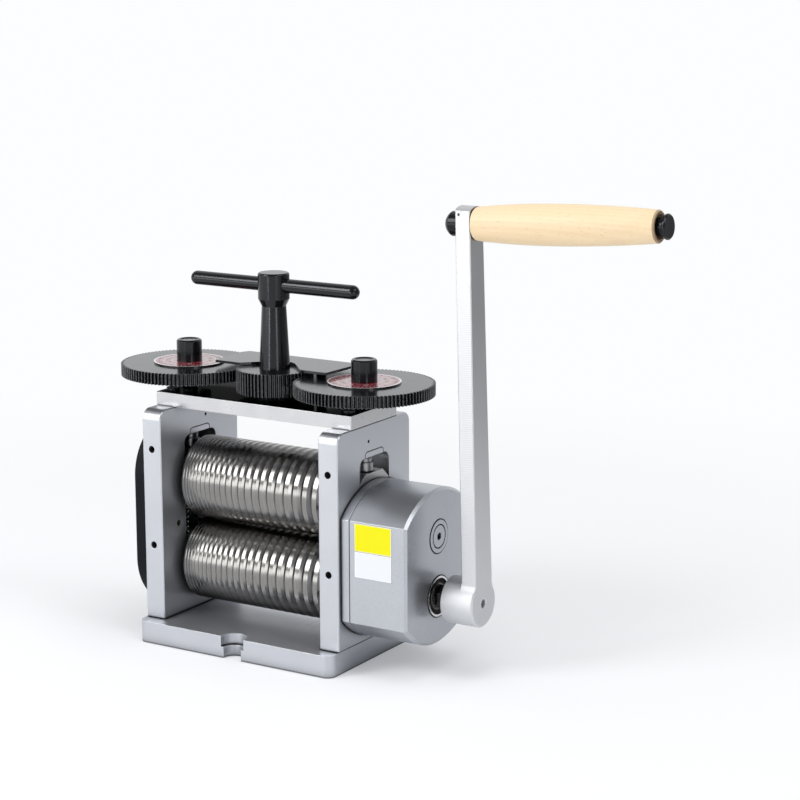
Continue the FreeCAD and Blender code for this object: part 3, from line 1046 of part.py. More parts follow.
def wooden_grip():
    """Turned grip: rounded at the arm, fullest before the middle, counterbored at its tail."""
    belly = (GRIP_BELLY_RADIUS, GRIP_LENGTH * GRIP_BELLY_FROM_ARM)
    near = arc_to_belly((GRIP_END_RADIUS, GRIP_ROUNDING), belly)
    far = arc_to_belly((GRIP_TAIL_RADIUS, GRIP_LENGTH - GRIP_TAIL_ROUNDING), belly)
    bore = GRIP_BOLT_RADIUS + GRIP_BORE_CLEARANCE
    nose = GRIP_END_RADIUS - GRIP_ROUNDING
    turn = GRIP_ROUNDING * math.sqrt(0.5)
    nose_arc = Part.Arc(Vector(nose, 0, 0), Vector(nose + turn, 0, GRIP_ROUNDING - turn),
                        Vector(GRIP_END_RADIUS, 0, GRIP_ROUNDING))
    floor_z = GRIP_LENGTH - GRIP_RECESS_DEPTH
    back = [far[0], Vector(GRIP_TAIL_RADIUS - GRIP_TAIL_ROUNDING, 0, GRIP_LENGTH),
            Vector(GRIP_RECESS_RADIUS, 0, GRIP_LENGTH), Vector(GRIP_RECESS_RADIUS, 0, floor_z),
            Vector(bore, 0, floor_z), Vector(bore, 0, 0), Vector(nose, 0, 0)]
    edges = [nose_arc.toShape(), Part.Arc(*near).toShape(), Part.Arc(*reversed(far)).toShape()]
    edges += Part.makePolygon(back).Edges
    grip = Part.Face(Part.Wire(edges)).revolve(Vector(0, 0, 0), Z_AXIS, 360)
    return placed(grip, grip_point(GRIP_ARM_GAP), GRIP_AXIS)


# ---- T-handle and keeper ----------------------------------------------------------------------------
def handle_column():
    """Tapered column with a round head, turned in one piece with its spigot and journal."""
    outline = [(0, CHEEK_TOP_Z), (HANDLE_JOURNAL_RADIUS, CHEEK_TOP_Z),
               (HANDLE_JOURNAL_RADIUS, PINION_BOTTOM_Z), (HANDLE_SPIGOT_RADIUS, PINION_BOTTOM_Z),
               (HANDLE_SPIGOT_RADIUS, PINION_TOP_Z), (COLUMN_FOOT_RADIUS, PINION_TOP_Z),
               (COLUMN_WAIST_RADIUS, COLUMN_WAIST_Z), (HEAD_RADIUS, HEAD_BOTTOM_Z),
               (HEAD_RADIUS, HEAD_TOP_Z), (0, HEAD_TOP_Z)]
    column = revolved_z(outline, 0, 0)
    rim = [edge for edge in column.Edges
           if edge.BoundBox.ZMin > HEAD_TOP_Z - 1e-6 and edge.BoundBox.XLength > HEAD_RADIUS]
    column = column.makeFillet(HEAD_EDGE_RADIUS, rim)
    return column.cut(rod_x(HANDLE_BAR_RADIUS, -2 * HEAD_RADIUS, 2 * HEAD_RADIUS, 0, HANDLE_BAR_Z))


def handle_bar():
    """Cross bar with round ends."""
    straight = HANDLE_BAR_HALF_LENGTH - HANDLE_BAR_RADIUS
    bar = rod_x(HANDLE_BAR_RADIUS, -straight, straight, 0, HANDLE_BAR_Z)
    for x in (-straight, straight):
        bar = bar.fuse(Part.makeSphere(HANDLE_BAR_RADIUS, Vector(x, 0, HANDLE_BAR_Z)))
    return bar.removeSplitter()


def handle_pinion():
    """Tall pinion on the handle, between the two screw gears."""
    pinion = standard_gear_z(PINION_TEETH, GEAR_MODULE, PINION_HEIGHT, GEAR_BACKLASH)
    pinion.translate(Vector(0, 0, PINION_BOTTOM_Z))
    return pinion.cut(rod_z(HANDLE_SPIGOT_RADIUS, 0, 0, PINION_BOTTOM_Z, PINION_TOP_Z))


def handle_bush():
    """Flanged bush in the top plate that the handle's journal turns in."""
    bore = HANDLE_JOURNAL_RADIUS + RUNNING_CLEARANCE
    seat_z = PINION_BOTTOM_Z - HANDLE_AXIAL_CLEARANCE
    bush = rod_z(HANDLE_JOURNAL_RADIUS + HANDLE_BUSH_WALL, 0, 0, CHEEK_TOP_Z, PLATE_TOP_Z)
    bush = bush.fuse(rod_z(HANDLE_BUSH_FLANGE_RADIUS, 0, 0, PLATE_TOP_Z, seat_z)).removeSplitter()
    return bush.cut(rod_z(bore, 0, 0, CHEEK_TOP_Z, seat_z))


def keeper_plate():
    """Thin plate over the pinion with a rounded V notch that clears the column."""
    corner_x = KEEPER_HALF_LENGTH_BACK - KEEPER_CORNER_LENGTH
    corner_y = KEEPER_BACK_Y - KEEPER_CORNER_DEPTH
    right = [(KEEPER_HALF_LENGTH_FRONT, KEEPER_FRONT_Y), (KEEPER_HALF_LENGTH_BACK, corner_y),
             (corner_x, KEEPER_BACK_Y)]
    outline = right + [(-x, y) for x, y in reversed(right)]
    corners = [Vector(x, y, KEEPER_BOTTOM_Z) for x, y in outline]
    rise = Vector(0, 0, KEEPER_THICKNESS)
    plate = Part.Face(Part.makePolygon(corners + corners[:1])).extrude(rise)
    mouth = Vector(KEEPER_NOTCH_HALF_WIDTH, KEEPER_FRONT_Y, 0)
    touch = math.atan2(mouth.y, mouth.x) + math.acos(KEEPER_NOTCH_RADIUS / mouth.Length)
    touch_x = KEEPER_NOTCH_RADIUS * math.cos(touch)
    touch_y = KEEPER_NOTCH_RADIUS * math.sin(touch)
    front_y = KEEPER_FRONT_Y - KEEPER_NOTCH_RADIUS
    half = [(touch_x, touch_y), (mouth.x, mouth.y), (mouth.x, front_y)]
    notch = half + [(-x, y) for x, y in reversed(half)]
    corners = [Vector(x, y, KEEPER_BOTTOM_Z) for x, y in notch]
    notch = Part.Face(Part.makePolygon(corners + corners[:1])).extrude(rise)
    notch = notch.fuse(rod_z(KEEPER_NOTCH_RADIUS, 0, 0, KEEPER_BOTTOM_Z, KEEPER_TOP_Z))
    plate = plate.cut(notch)
    for x in (-STANDOFF_X, STANDOFF_X):
        plate = plate.cut(rod_z(STANDOFF_RIVET_RADIUS, x, STANDOFF_Y, KEEPER_BOTTOM_Z, KEEPER_TOP_Z))
    return plate


def keeper_standoffs():
    """Two shouldered posts, riveted through the keeper and pressed into the top plate."""
    posts = []
    for x in (-STANDOFF_X, STANDOFF_X):
        post = rod_z(STANDOFF_RIVET_RADIUS, x, STANDOFF_Y, PLATE_TOP_Z - STANDOFF_ROOT, KEEPER_TOP_Z)
        posts.append(post.fuse(rod_z(STANDOFF_RADIUS, x, STANDOFF_Y, PLATE_TOP_Z, KEEPER_BOTTOM_Z)))
    return group(posts)


# ---- pressure screws, their gears, dials and knobs ---------------------------------------------------
def pressure_screw():
    """Pressure screw over the right cheek: foot, neck, threaded length and gear spindle."""
    foot_z = UPPER_BLOCK_TOP_Z + SCREW_FOOT_GAP
    neck_z = foot_z + SCREW_FOOT_HEIGHT
    thread_z = neck_z + SCREW_NECK_HEIGHT
    spindle_z = GEAR_BOTTOM_Z - GEAR_HUB_HEIGHT
    end_z = GEAR_TOP_Z + KNOB_BORE_DEPTH
    outline = [(0, foot_z), (SCREW_RADIUS, foot_z), (SCREW_RADIUS, neck_z), (SCREW_NECK_RADIUS, neck_z),
               (SCREW_NECK_RADIUS, thread_z), (SCREW_RADIUS, thread_z), (SCREW_RADIUS, spindle_z),
               (GEAR_SPINDLE_RADIUS, spindle_z), (GEAR_SPINDLE_RADIUS, end_z), (0, end_z)]
    return revolved_z(outline, SCREW_X, 0)


def screw_gear(x, first_tooth_deg):
    """Large gear with its hub, fixed on a pressure screw."""
    gear = standard_gear_z(SCREW_GEAR_TEETH, GEAR_MODULE, SCREW_GEAR_THICKNESS, GEAR_BACKLASH,
                           first_tooth_deg)
    gear.translate(Vector(x, 0, GEAR_BOTTOM_Z))
    hub_z = GEAR_BOTTOM_Z - GEAR_HUB_HEIGHT
    gear = gear.fuse(rod_z(GEAR_HUB_RADIUS, x, 0, hub_z, GEAR_BOTTOM_Z)).removeSplitter()
    return gear.cut(rod_z(GEAR_SPINDLE_RADIUS, x, 0, hub_z, GEAR_TOP_Z))


def dial():
    """Flat ring on the right-hand gear, under the knob."""
    ring = rod_z(DIAL_RADIUS, SCREW_X, 0, GEAR_TOP_Z, GEAR_TOP_Z + DIAL_THICKNESS)
    hole = rod_z(KNOB_RADIUS + KNOB_DIAL_CLEARANCE, SCREW_X, 0, GEAR_TOP_Z, GEAR_TOP_Z + DIAL_THICKNESS)
    return ring.cut(hole)


def knob():
    """Cap on the right-hand screw's spindle, with a chamfered rim and a shallow dish on top."""
    top_z = GEAR_TOP_Z + KNOB_HEIGHT
    bore_z = GEAR_TOP_Z + KNOB_BORE_DEPTH
    dish_z = top_z - KNOB_DISH_DEPTH
    outline = [(GEAR_SPINDLE_RADIUS, GEAR_TOP_Z), (KNOB_RADIUS, GEAR_TOP_Z),
               (KNOB_RADIUS, top_z - KNOB_CHAMFER), (KNOB_RADIUS - KNOB_CHAMFER, top_z),
               (KNOB_DISH_RADIUS + KNOB_DISH_DEPTH, top_z), (KNOB_DISH_RADIUS, dish_z),
               (0, dish_z), (0, bore_z), (GEAR_SPINDLE_RADIUS, bore_z)]
    return revolved_z(outline, SCREW_X, 0)


def label(top_z, height):
    """Thin blank label on the gearbox's front flat."""
    x = BOX_SPLIT_X + LABEL_MARGIN
    return box(x, x + LABEL_WIDTH, -BOX_FLAT_Y - LABEL_THICKNESS, -BOX_FLAT_Y, top_z - height, top_z)


def build():
    """Every piece of the mill by its node name."""
    nut = pressure_nut()
    upper_block = bearing_block(UPPER_ROLL_Z, BLOCK_BELOW_AXIS, UPPER_BLOCK_ABOVE_AXIS, True)
    lower_block = bearing_block(LOWER_ROLL_Z, BLOCK_BELOW_AXIS, LOWER_BLOCK_ABOVE_AXIS, False)
    screw = pressure_screw()
    ring = dial()
    cap = knob()
    screw_gear_space = 180 / SCREW_GEAR_TEETH
    flat_top_z = BOX_AXIS_Z - BOX_ARC_OFFSET + math.sqrt(BOX_ARC_RADIUS ** 2 - BOX_FLAT_Y ** 2)
    label_top_z = flat_top_z - LABEL_TOP_MARGIN
    return {
        "base_plate": base_plate(),
        "base_screws": base_screws(),
        "left_cheek": left_cheek(),
        "right_cheek": right_cheek(),
        "top_plate": top_plate(),
        "top_plate_screws": top_plate_screws(),
        "pressure_nuts": group((mirrored_x(nut), nut)),
        "lower_left_block": mirrored_x(lower_block),
        "lower_right_block": lower_block,
        "lower_bushes": bush_pair(LOWER_ROLL_Z),
        "upper_left_block": mirrored_x(upper_block),
        "upper_right_block": upper_block,
        "upper_bushes": bush_pair(UPPER_ROLL_Z),
        "return_springs": return_springs(),
        "upper_roll": roll(UPPER_ROLL_Z, False),
        "upper_coupling_gear": coupling_gear(UPPER_ROLL_Z, 180 / COUPLING_TEETH),
        "upper_gear_clip": coupling_clip(UPPER_ROLL_Z),
        "lower_roll": roll(LOWER_ROLL_Z, True),
        "lower_coupling_gear": coupling_gear(LOWER_ROLL_Z, 0),
        "lower_gear_clip": coupling_clip(LOWER_ROLL_Z),
        "gear_cover": gear_cover(),
        "cover_screws": cover_screws(),
        "gearbox_flange": gearbox_flange(),
        "gearbox_housing": gearbox_housing(),
        "housing_screws": housing_screws(),
        "layshaft_bushes": layshaft_bushes(),
        "layshaft_plug": layshaft_plug(),
        "crank_bearing": crank_bearing(),
        "shaft_seal": shaft_seal(),
        "final_gear": final_gear(),
        "layshaft": layshaft(),
        "layshaft_pinion": layshaft_pinion(),
        "layshaft_gear": layshaft_gear(),
        "crank_pinion": crank_pinion(),
        "crank_shaft": crank_shaft(),
        "crank_arm": crank_arm(),
        "crank_set_screw": crank_set_screw(),
        "grip_bolt": grip_bolt(),
        "grip_cap": grip_cap(),
        "wooden_grip": wooden_grip(),
        "handle_column": handle_column(),
        "handle_bar": handle_bar(),
        "handle_pinion": handle_pinion(),
        "handle_bush": handle_bush(),
        "keeper_plate": keeper_plate(),
        "keeper_standoffs": keeper_standoffs(),
        "left_pressure_screw": mirrored_x(screw),
        "left_screw_gear": screw_gear(-SCREW_X, screw_gear_space),
        "left_dial": mirrored_x(ring),
        "left_knob": mirrored_x(cap),
        "right_pressure_screw": screw,
        "right_screw_gear": screw_gear(SCREW_X, 180 + screw_gear_space),
        "right_dial": ring,
        "right_knob": cap,
        "yellow_label": label(label_top_z, YELLOW_LABEL_HEIGHT),
        "white_label": label(label_top_z - YELLOW_LABEL_HEIGHT - LABEL_GAP, WHITE_LABEL_HEIGHT),
    }


os.makedirs("parts", exist_ok=True)
for name, shape in build().items():
    shape.exportStep(f"parts/{name}.step")
    print(f"{name:24s} solids {len(shape.Solids)}  volume {shape.Volume:10.1f}  valid {shape.isValid()}")
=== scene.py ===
"""Looks of a hand-cranked jewellers rolling mill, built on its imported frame."""

import logging
import math
from contextlib import contextmanager
from dataclasses import dataclass, field, replace
from enum import Enum
from typing import Any, Iterator, Mapping, Sequence, Union

import bpy
from bpy.types import NodeSocket, NodeTree, Object
from mathutils import Matrix, Vector


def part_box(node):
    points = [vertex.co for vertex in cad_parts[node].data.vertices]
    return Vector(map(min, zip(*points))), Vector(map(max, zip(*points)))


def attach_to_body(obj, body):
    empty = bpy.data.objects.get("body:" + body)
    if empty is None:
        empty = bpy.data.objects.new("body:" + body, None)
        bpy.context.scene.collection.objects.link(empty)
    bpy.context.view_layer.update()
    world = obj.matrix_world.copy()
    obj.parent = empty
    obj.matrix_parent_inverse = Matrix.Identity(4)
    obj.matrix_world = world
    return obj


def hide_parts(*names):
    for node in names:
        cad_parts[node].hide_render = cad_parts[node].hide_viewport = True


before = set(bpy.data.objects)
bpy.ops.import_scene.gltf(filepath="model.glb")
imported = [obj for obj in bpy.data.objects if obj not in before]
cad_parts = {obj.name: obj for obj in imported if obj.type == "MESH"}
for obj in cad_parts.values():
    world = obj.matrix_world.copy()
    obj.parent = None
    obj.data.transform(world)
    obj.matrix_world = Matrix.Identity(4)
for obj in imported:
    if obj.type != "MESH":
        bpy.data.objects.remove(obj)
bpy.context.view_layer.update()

logging.basicConfig(level=logging.INFO, format="%(message)s")
LOG = logging.getLogger("rolling_mill")

MM = 0.001
FULL_TURN = 2 * math.pi
MERGE = 0.001 * MM
Span = tuple[float, float]
Triple = tuple[float, float, float]
Colour = Triple
Number = Union[float, "Signal"]


class Spot(Enum):
    """Outputs of the Texture Coordinate node that are read."""

    PLACE = "Object"
    FACING = "Normal"
    SKY = "Generated"


class Blend(Enum):
    """How two colours are put together."""

    MIX = "MIX"
    MULTIPLY = "MULTIPLY"


class Ray(Enum):
    """Kinds of light path that the background tells apart."""

    SEEN = "Is Camera Ray"
    MIRRORED = "Is Glossy Ray"
    THROUGH = "Is Transmission Ray"


# ---- shader maths


@dataclass(frozen=True)
class Signal:
    """A node's output, on which Python's operators add Math nodes."""

    graph: "Graph"
    socket: NodeSocket

    def __add__(self, other: Number) -> "Signal":
        """This plus other."""
        return self.graph.math("ADD", self, other)

    def __sub__(self, other: Number) -> "Signal":
        """This less other."""
        return self.graph.math("SUBTRACT", self, other)

    def __rsub__(self, other: Number) -> "Signal":
        """Other less this."""
        return self.graph.math("SUBTRACT", other, self)

    def __mul__(self, other: Number) -> "Signal":
        """This times other."""
        return self.graph.math("MULTIPLY", self, other)

    __radd__ = __add__
    __rmul__ = __mul__

    def __abs__(self) -> "Signal":
        """The size of this, without its sign."""
        return self.graph.math("ABSOLUTE", self)

    def greatest(self, *others: Number) -> "Signal":
        """The greatest of this and others."""
        most = self
        for other in others:
            most = self.graph.math("MAXIMUM", most, other)
        return most

    def hypot(self, other: "Signal") -> "Signal":
        """The length of an arrow whose two parts are this and other."""
        return self.graph.math("SQRT", self * self + other * other)

    def wave(self, pitch: float, phase: Number = 0.0) -> "Signal":
        """Even waves from 0 to 1.

        Args:
            pitch: How far this rises from one wave to the next.
            phase: Shift of the waves, in radians.

        Returns:
            The waves.
        """
        return self.graph.math("SINE", self * (FULL_TURN / pitch) + phase) * 0.5 + 0.5

    def over(self, low: float, high: float) -> "Signal":
        """A smooth rise from 0 at low to 1 at high.

        Args:
            low: Where the rise starts.
            high: Where it ends.

        Returns:
            The risen signal.
        """
        inputs = {"Value": self, "From Min": low, "From Max": high}
        return self.graph.node("ShaderNodeMapRange", {"interpolation_type": "SMOOTHSTEP"}, inputs)

    def between(self, low: float, high: float, soft: float) -> "Signal":
        """1 between low and high and 0 outside, with soft borders.

        Args:
            low: Lower border.
            high: Upper border.
            soft: Half the width of each border.

        Returns:
            The mask.
        """
        return self.over(low - soft, low + soft) - self.over(high - soft, high + soft)


@dataclass(frozen=True)
class Layer:
    """Noise, or scattered cells, and how far it moves a finish.

    One with a window is a mask, which rises from 0 to 1 between the window's ends. Any other
    swings around its middle. Sizes are in metres.
    """

    size: float
    detail: float = 2.0
    finer: float = 0.5
    stretch: Triple | None = None
    cells: bool = False
    window: Span | None = None
    light: float = 0.0
    rough: float = 0.0
    height: float = 0.0


@dataclass(frozen=True)
class Pattern(Signal):
    """The signal of a layer, with its shares in a finish."""

    layer: Layer

    def _swing(self, share: float) -> Signal:
        """This times a share, and around 0 unless it is a mask."""
        return (self if self.layer.window else self - 0.5) * share

    @property
    def light(self) -> Signal:
        """Its share in the lightness."""
        return self._swing(self.layer.light)

    @property
    def rough(self) -> Signal:
        """Its share in the roughness."""
        return self._swing(self.layer.rough)

    @property
    def height(self) -> Signal:
        """Its share in the height."""
        return self * self.layer.height


@dataclass(frozen=True)
class Gap:
    """How much painted shade a finish gets in corners and in gaps narrower than reach.

    What is left of its colour falls from 1, where openness is above open_from, to darkest below
    closed_to.
    """

    reach: float
    darkest: float
    closed_to: float = 0.45
    open_from: float = 0.92


class Graph:
    """One shader tree, and the nodes that looks are made of."""

    bevel_samples = 4
    gap_samples = 6
    edge_window: Span = (0.004, 0.12)

    def __init__(self, tree: NodeTree) -> None:
        """Takes the tree of a material or world, and empties it."""
        self.tree = tree
        self.tree.nodes.clear()

    def node(self, kind: str, settings: Mapping[str, Any] | None = None,
             inputs: Mapping[str | int, Any] | None = None, output: str | int = 0) -> Signal:
        """Adds one node.

        Args:
            kind: The node's Blender type.
            settings: Its properties, which are set first.
            inputs: Values or signals for its sockets, by name or number.
            output: The output to return, by name or number.

        Returns:
            That output.
        """
        made = self.tree.nodes.new(kind)
        for key, value in (settings or {}).items():
            setattr(made, key, value)
        for key, value in (inputs or {}).items():
            socket = made.inputs[key]
            if isinstance(value, Signal):
                self.tree.links.new(value.socket, socket)
            elif isinstance(value, tuple) and len(value) == 3 and socket.type == "RGBA":
                socket.default_value = (*value, 1.0)
            else:
                socket.default_value = value
        return Signal(self, made.outputs[output])

    def math(self, operation: str, a: Number, b: Number = 0.0) -> Signal:
        """Adds one Math node."""
        return self.node("ShaderNodeMath", {"operation": operation}, {0: a, 1: b})

    def ray(self, kind: Ray) -> Signal:
        """1 for light paths of that kind, and 0 for others."""
        return self.node("ShaderNodeLightPath", output=kind.value)

    def place(self, spot: Spot = Spot.PLACE) -> Signal:
        """The point on the piece, or the way it faces there."""
        return self.node("ShaderNodeTexCoord", output=spot.value)

    def axes(self, spot: Spot = Spot.PLACE) -> tuple[Signal, ...]:
        """The x, y and z of that point or way."""
        x = self.node("ShaderNodeSeparateXYZ", inputs={0: self.place(spot)})
        return tuple(Signal(self, output) for output in x.socket.node.outputs)

    def patterns(self, *layers: Layer) -> list[Pattern]:
        """Adds the texture nodes of layers.

        Args:
            layers: The layers.

        Returns:
            A pattern for each, in their order.
        """
        made = []
        for layer in layers:
            place = self.place()
            if layer.stretch:
                scaled = {0: place, 1: layer.stretch}
                place = self.node("ShaderNodeVectorMath", {"operation": "MULTIPLY"}, scaled)
            inputs = {"Vector": place, "Scale": 1 / layer.size}
            if layer.cells:
                signal = self.node("ShaderNodeTexVoronoi", {}, inputs)
            else:
                inputs |= {"Detail": layer.detail, "Roughness": layer.finer}
                signal = self.node("ShaderNodeTexNoise", {}, inputs)
            if layer.window:
                signal = signal.over(*layer.window)
            made.append(Pattern(self, signal.socket, layer))
        return made

    def blend(self, factor: Number, a: Colour | Signal, b: Colour | Signal,
              how: Blend = Blend.MIX) -> Signal:
        """Puts two colours together.

        Args:
            factor: Share of b.
            a: First colour.
            b: Second colour.
            how: Mixed or multiplied.

        Returns:
            The new colour.
        """
        settings = {"data_type": "RGBA", "blend_type": how.value, "clamp_factor": True}
        return self.node("ShaderNodeMix", settings, {0: factor, 6: a, 7: b}, 2)

    def shaded(self, colour: Colour | Signal, light: Signal) -> Signal:
        """A colour made lighter or darker by a signal around 1."""
        grey = self.node("ShaderNodeCombineXYZ", inputs={0: light, 1: light, 2: light})
        return self.blend(1.0, colour, grey, Blend.MULTIPLY)

    def soft_edges(self, radius: float) -> Signal:
        """The surface's normal, rounded over its edges."""
        return self.node("ShaderNodeBevel", {"samples": self.bevel_samples}, {"Radius": radius})

    def edge_mask(self, rounded: Signal) -> Signal:
        """0 on flat faces and 1 on sharp edges, where the rounded normal turns away."""
        flat = self.node("ShaderNodeNewGeometry", output="Normal")
        along = self.node(
            "ShaderNodeVectorMath", {"operation": "DOT_PRODUCT"}, {0: flat, 1: rounded}, "Value"
        )
        return (1.0 - along).over(*self.edge_window)

    def open_share(self, gap: Gap) -> Signal:
        """The share of a colour that painted shade leaves: 1 on open surface, and less in corners.
        """
        settings = {"samples": self.gap_samples}
        seen = self.node("ShaderNodeAmbientOcclusion", settings, {"Distance": gap.reach}, "AO")
        return gap.darkest + (1.0 - gap.darkest) * seen.over(gap.closed_to, gap.open_from)

    def bump(self, height: Signal, depth: float, normal: Signal | None = None,
             strength: float = 1.0) -> Signal:
        """A bumped normal.

        Args:
            height: Height from 0 to 1.
            depth: Depth of the relief in metres.
            normal: Normal to start from.
            strength: Share of the relief that shows.

        Returns:
            The new normal.
        """
        inputs = {"Height": height, "Distance": depth, "Strength": strength}
        if normal is not None:
            inputs["Normal"] = normal
        return self.node("ShaderNodeBump", {}, inputs)

    def principled(self, **sockets: Any) -> Signal:
        """A Principled BSDF, whose inputs are given by name with _ for a space."""
        inputs = {key.replace("_", " "): value for key, value in sockets.items()}
        return self.node("ShaderNodeBsdfPrincipled", {}, inputs)

    def close(self, surface: Signal, kind: str = "ShaderNodeOutputMaterial") -> None:
        """Links a surface to the tree's output."""
        out = self.tree.nodes.new(kind)
        self.tree.links.new(surface.socket, out.inputs["Surface"])


# ---- finishes


@dataclass(frozen=True)
class Finish:
    """A procedural material. Every kind of finish builds its own surface."""

    name: str

    def surface(self, g: Graph) -> Signal:
        """Adds the finish's nodes.

        Args:
            g: The material's empty tree.

        Returns:
            The shader.
        """
        raise NotImplementedError

    def cover(self, *names: str) -> None:
        """Makes the material and gives it to CAD nodes or pieces.

        Args:
            names: Names of the objects.
        """
        material = bpy.data.materials.new(self.name)
        material.use_nodes = True
        g = Graph(material.node_tree)
        g.close(self.surface(g))
        for name in names:
            obj = bpy.data.objects[name]
            if not obj.material_slots:
                obj.data.materials.append(material)
            for slot in obj.material_slots:
                slot.material = material
            LOG.info("%s wears %s", name, self.name)


@dataclass(frozen=True)
class BlastedSteel(Finish):
    """Steel or cast alloy blasted with fine beads, satin and a little cloudy. Its colour holds
    painted shade in seams and pockets, and its worn edges are painted lighter as a highlight.
    """

    colour: Colour
    roughness: float = 0.36
    grain: Layer = Layer(0.45 * MM, 3.0, 0.65, light=0.2, height=0.7)
    depth: float = 0.012 * MM
    smooth_ends: bool = False
    metallic: float = 0.84
    clouds: Layer = Layer(26 * MM, 3.0, light=0.1, rough=0.07)
    beads: Layer = Layer(0.55 * MM, cells=True, rough=0.05, height=0.3)
    edge: float = 0.3 * MM
    edge_highlight_share: float = 0.8
    edge_highlight_gain: float = 1.7
    edge_polish: float = 0.06
    end_window: Span = (0.9, 0.99)
    end_calm: float = 0.7
    end_shade: float = 0.1
    end_polish: float = 0.05
    end_flat: float = 0.75
    seam_shadow: Gap = Gap(1.6 * MM, 0.1, 0.6, 0.97)
    pocket_shade: Gap = Gap(10.0 * MM, 0.35, 0.25, 0.85)

    def surface(self, g: Graph) -> Signal:
        """The shader."""
        grain, clouds, beads = g.patterns(self.grain, self.clouds, self.beads)
        normal = g.soft_edges(self.edge)
        edge_wear_and_highlight = g.edge_mask(normal)
        specks = grain.light
        light = 1.0 + specks + clouds.light
        rough = self.roughness + clouds.rough + beads.rough
        height = grain.height + beads.height
        if self.smooth_ends:
            ends = g.axes(Spot.FACING)[0].over(*self.end_window)
            light = (light - ends * specks * self.end_calm) * (1.0 - ends * self.end_shade)
            rough = rough - ends * self.end_polish
            height = height * (1.0 - ends * self.end_flat)
        # Painted shade: ambient occlusion darkens the colour in seams, and more widely in pockets.
        seam_shading = g.open_share(self.seam_shadow)
        # Worn edges: polished smoother, and painted lighter as an edge highlight, which the seam
        # shade keeps out of corners.
        highlight_colour = tuple(min(1.0, part * self.edge_highlight_gain) for part in self.colour)
        base = g.blend(edge_wear_and_highlight * seam_shading * self.edge_highlight_share, g.shaded(self.colour, light), highlight_colour)
        return g.principled(
            Base_Color=g.shaded(base, seam_shading * g.open_share(self.pocket_shade)), Metallic=self.metallic,
            Roughness=rough - edge_wear_and_highlight * self.edge_polish, Normal=g.bump(height, self.depth, normal),
        )


@dataclass(frozen=True)
class NutSteel(Finish):
    """Blasted steel of a nut that fills a round-cornered slot, with a painted shadow along the
    slot's border.
    """

    colour: Colour
    half_width: float
    top: float
    corner: float = 2.8 * MM
    # Where the painted shadow along the border starts and ends, how dark it is, and how much
    # rougher.
    seam_from: float = 0.9 * MM
    seam_to: float = 0.36 * MM
    seam_shade: float = 0.9
    seam_rough: float = 0.3
    roughness: float = 0.36
    grain: Layer = Layer(0.45 * MM, 3.0, 0.65, light=0.3)
    depth: float = 0.012 * MM
    edge: float = 0.3 * MM
    crevice_shade: Gap = Gap(1.4 * MM, 0.12)

    def surface(self, g: Graph) -> Signal:
        """The shader."""
        grain, = g.patterns(self.grain)
        _, y, z = g.axes()
        beyond_y = (abs(y) - (self.half_width - self.corner)).greatest(0.0)
        beyond_z = (z - (self.top - self.corner)).greatest(0.0)
        out = beyond_y.hypot(beyond_z)
        # Painted shadow: the colour is darkened along the border where the nut meets its slot,
        # which is also rougher; crevices get painted shade.
        seam_shadow = out.over(self.corner - self.seam_from, self.corner - self.seam_to)
        light = (1.0 + grain.light) * (1.0 - seam_shadow * self.seam_shade) * g.open_share(self.crevice_shade)
        return g.principled(
            Base_Color=g.shaded(self.colour, light), Metallic=1.0,
            Roughness=self.roughness + seam_shadow * self.seam_rough,
            Normal=g.bump(grain, self.depth, g.soft_edges(self.edge)),
        )


@dataclass(frozen=True)
class GroundSteel(Finish):
    """Bright steel ground along one axis, with fine parallel scratches. Its colour holds painted
    shade in crevices and pockets, and can hold it on faces turned upwards; its worn edges are
    painted lighter as a highlight.
    """

    colour: Colour
    roughness: float = 0.22
    along: Triple = (0.02, 1.0, 1.0)
    top_shade_and_polish: float = 0.0
    grazing: float = 1.0
    lines: Layer = Layer(0.16 * MM, 4.0, 0.7, light=0.16, rough=0.14)
    clouds: Layer = Layer(14 * MM, 4.0, light=0.14, rough=0.06)
    stains: Layer = Layer(5 * MM, 5.0, 0.7, window=(0.56, 0.75), light=-0.10, rough=0.07)
    depth: float = 0.006 * MM
    upward_window: Span = (0.8, 0.98)
    top_polish: float = 0.75
    edge: float = 0.3 * MM
    edge_highlight_share: float = 0.35
    edge_highlight_colour: Colour = (0.82, 0.83, 0.84)
    crevice_shade: Gap = Gap(1.4 * MM, 0.15)
    pocket_shade: Gap = Gap(7.0 * MM, 0.4, 0.2, 0.75)

    def surface(self, g: Graph) -> Signal:
        """The shader."""
        drawn = replace(self.lines, stretch=self.along)
        lines, clouds, stains = g.patterns(drawn, self.clouds, self.stains)
        normal = g.soft_edges(self.edge)
        light = 1.0 + lines.light + clouds.light + stains.light
        rough = self.roughness + lines.rough + stains.rough + clouds.rough
        # Painted shade: faces turned upwards are darkened, and made smoother.
        if self.top_shade_and_polish:
            upwards = g.axes(Spot.FACING)[2].over(*self.upward_window) * self.top_shade_and_polish
            light = light * (1.0 - upwards)
            rough = rough * (1.0 - upwards * self.top_polish)
        # Painted shade in crevices and pockets, and worn edges painted lighter as an edge
        # highlight.
        light = light * g.open_share(self.crevice_shade) * g.open_share(self.pocket_shade)
        edge_wear_and_highlight = g.edge_mask(normal) * self.edge_highlight_share
        return g.principled(
            Base_Color=g.blend(edge_wear_and_highlight, g.shaded(self.colour, light), self.edge_highlight_colour),
            Metallic=1.0, Roughness=rough, Specular_Tint=(self.grazing,) * 3,
            Normal=g.bump(lines, self.depth, normal),
        )


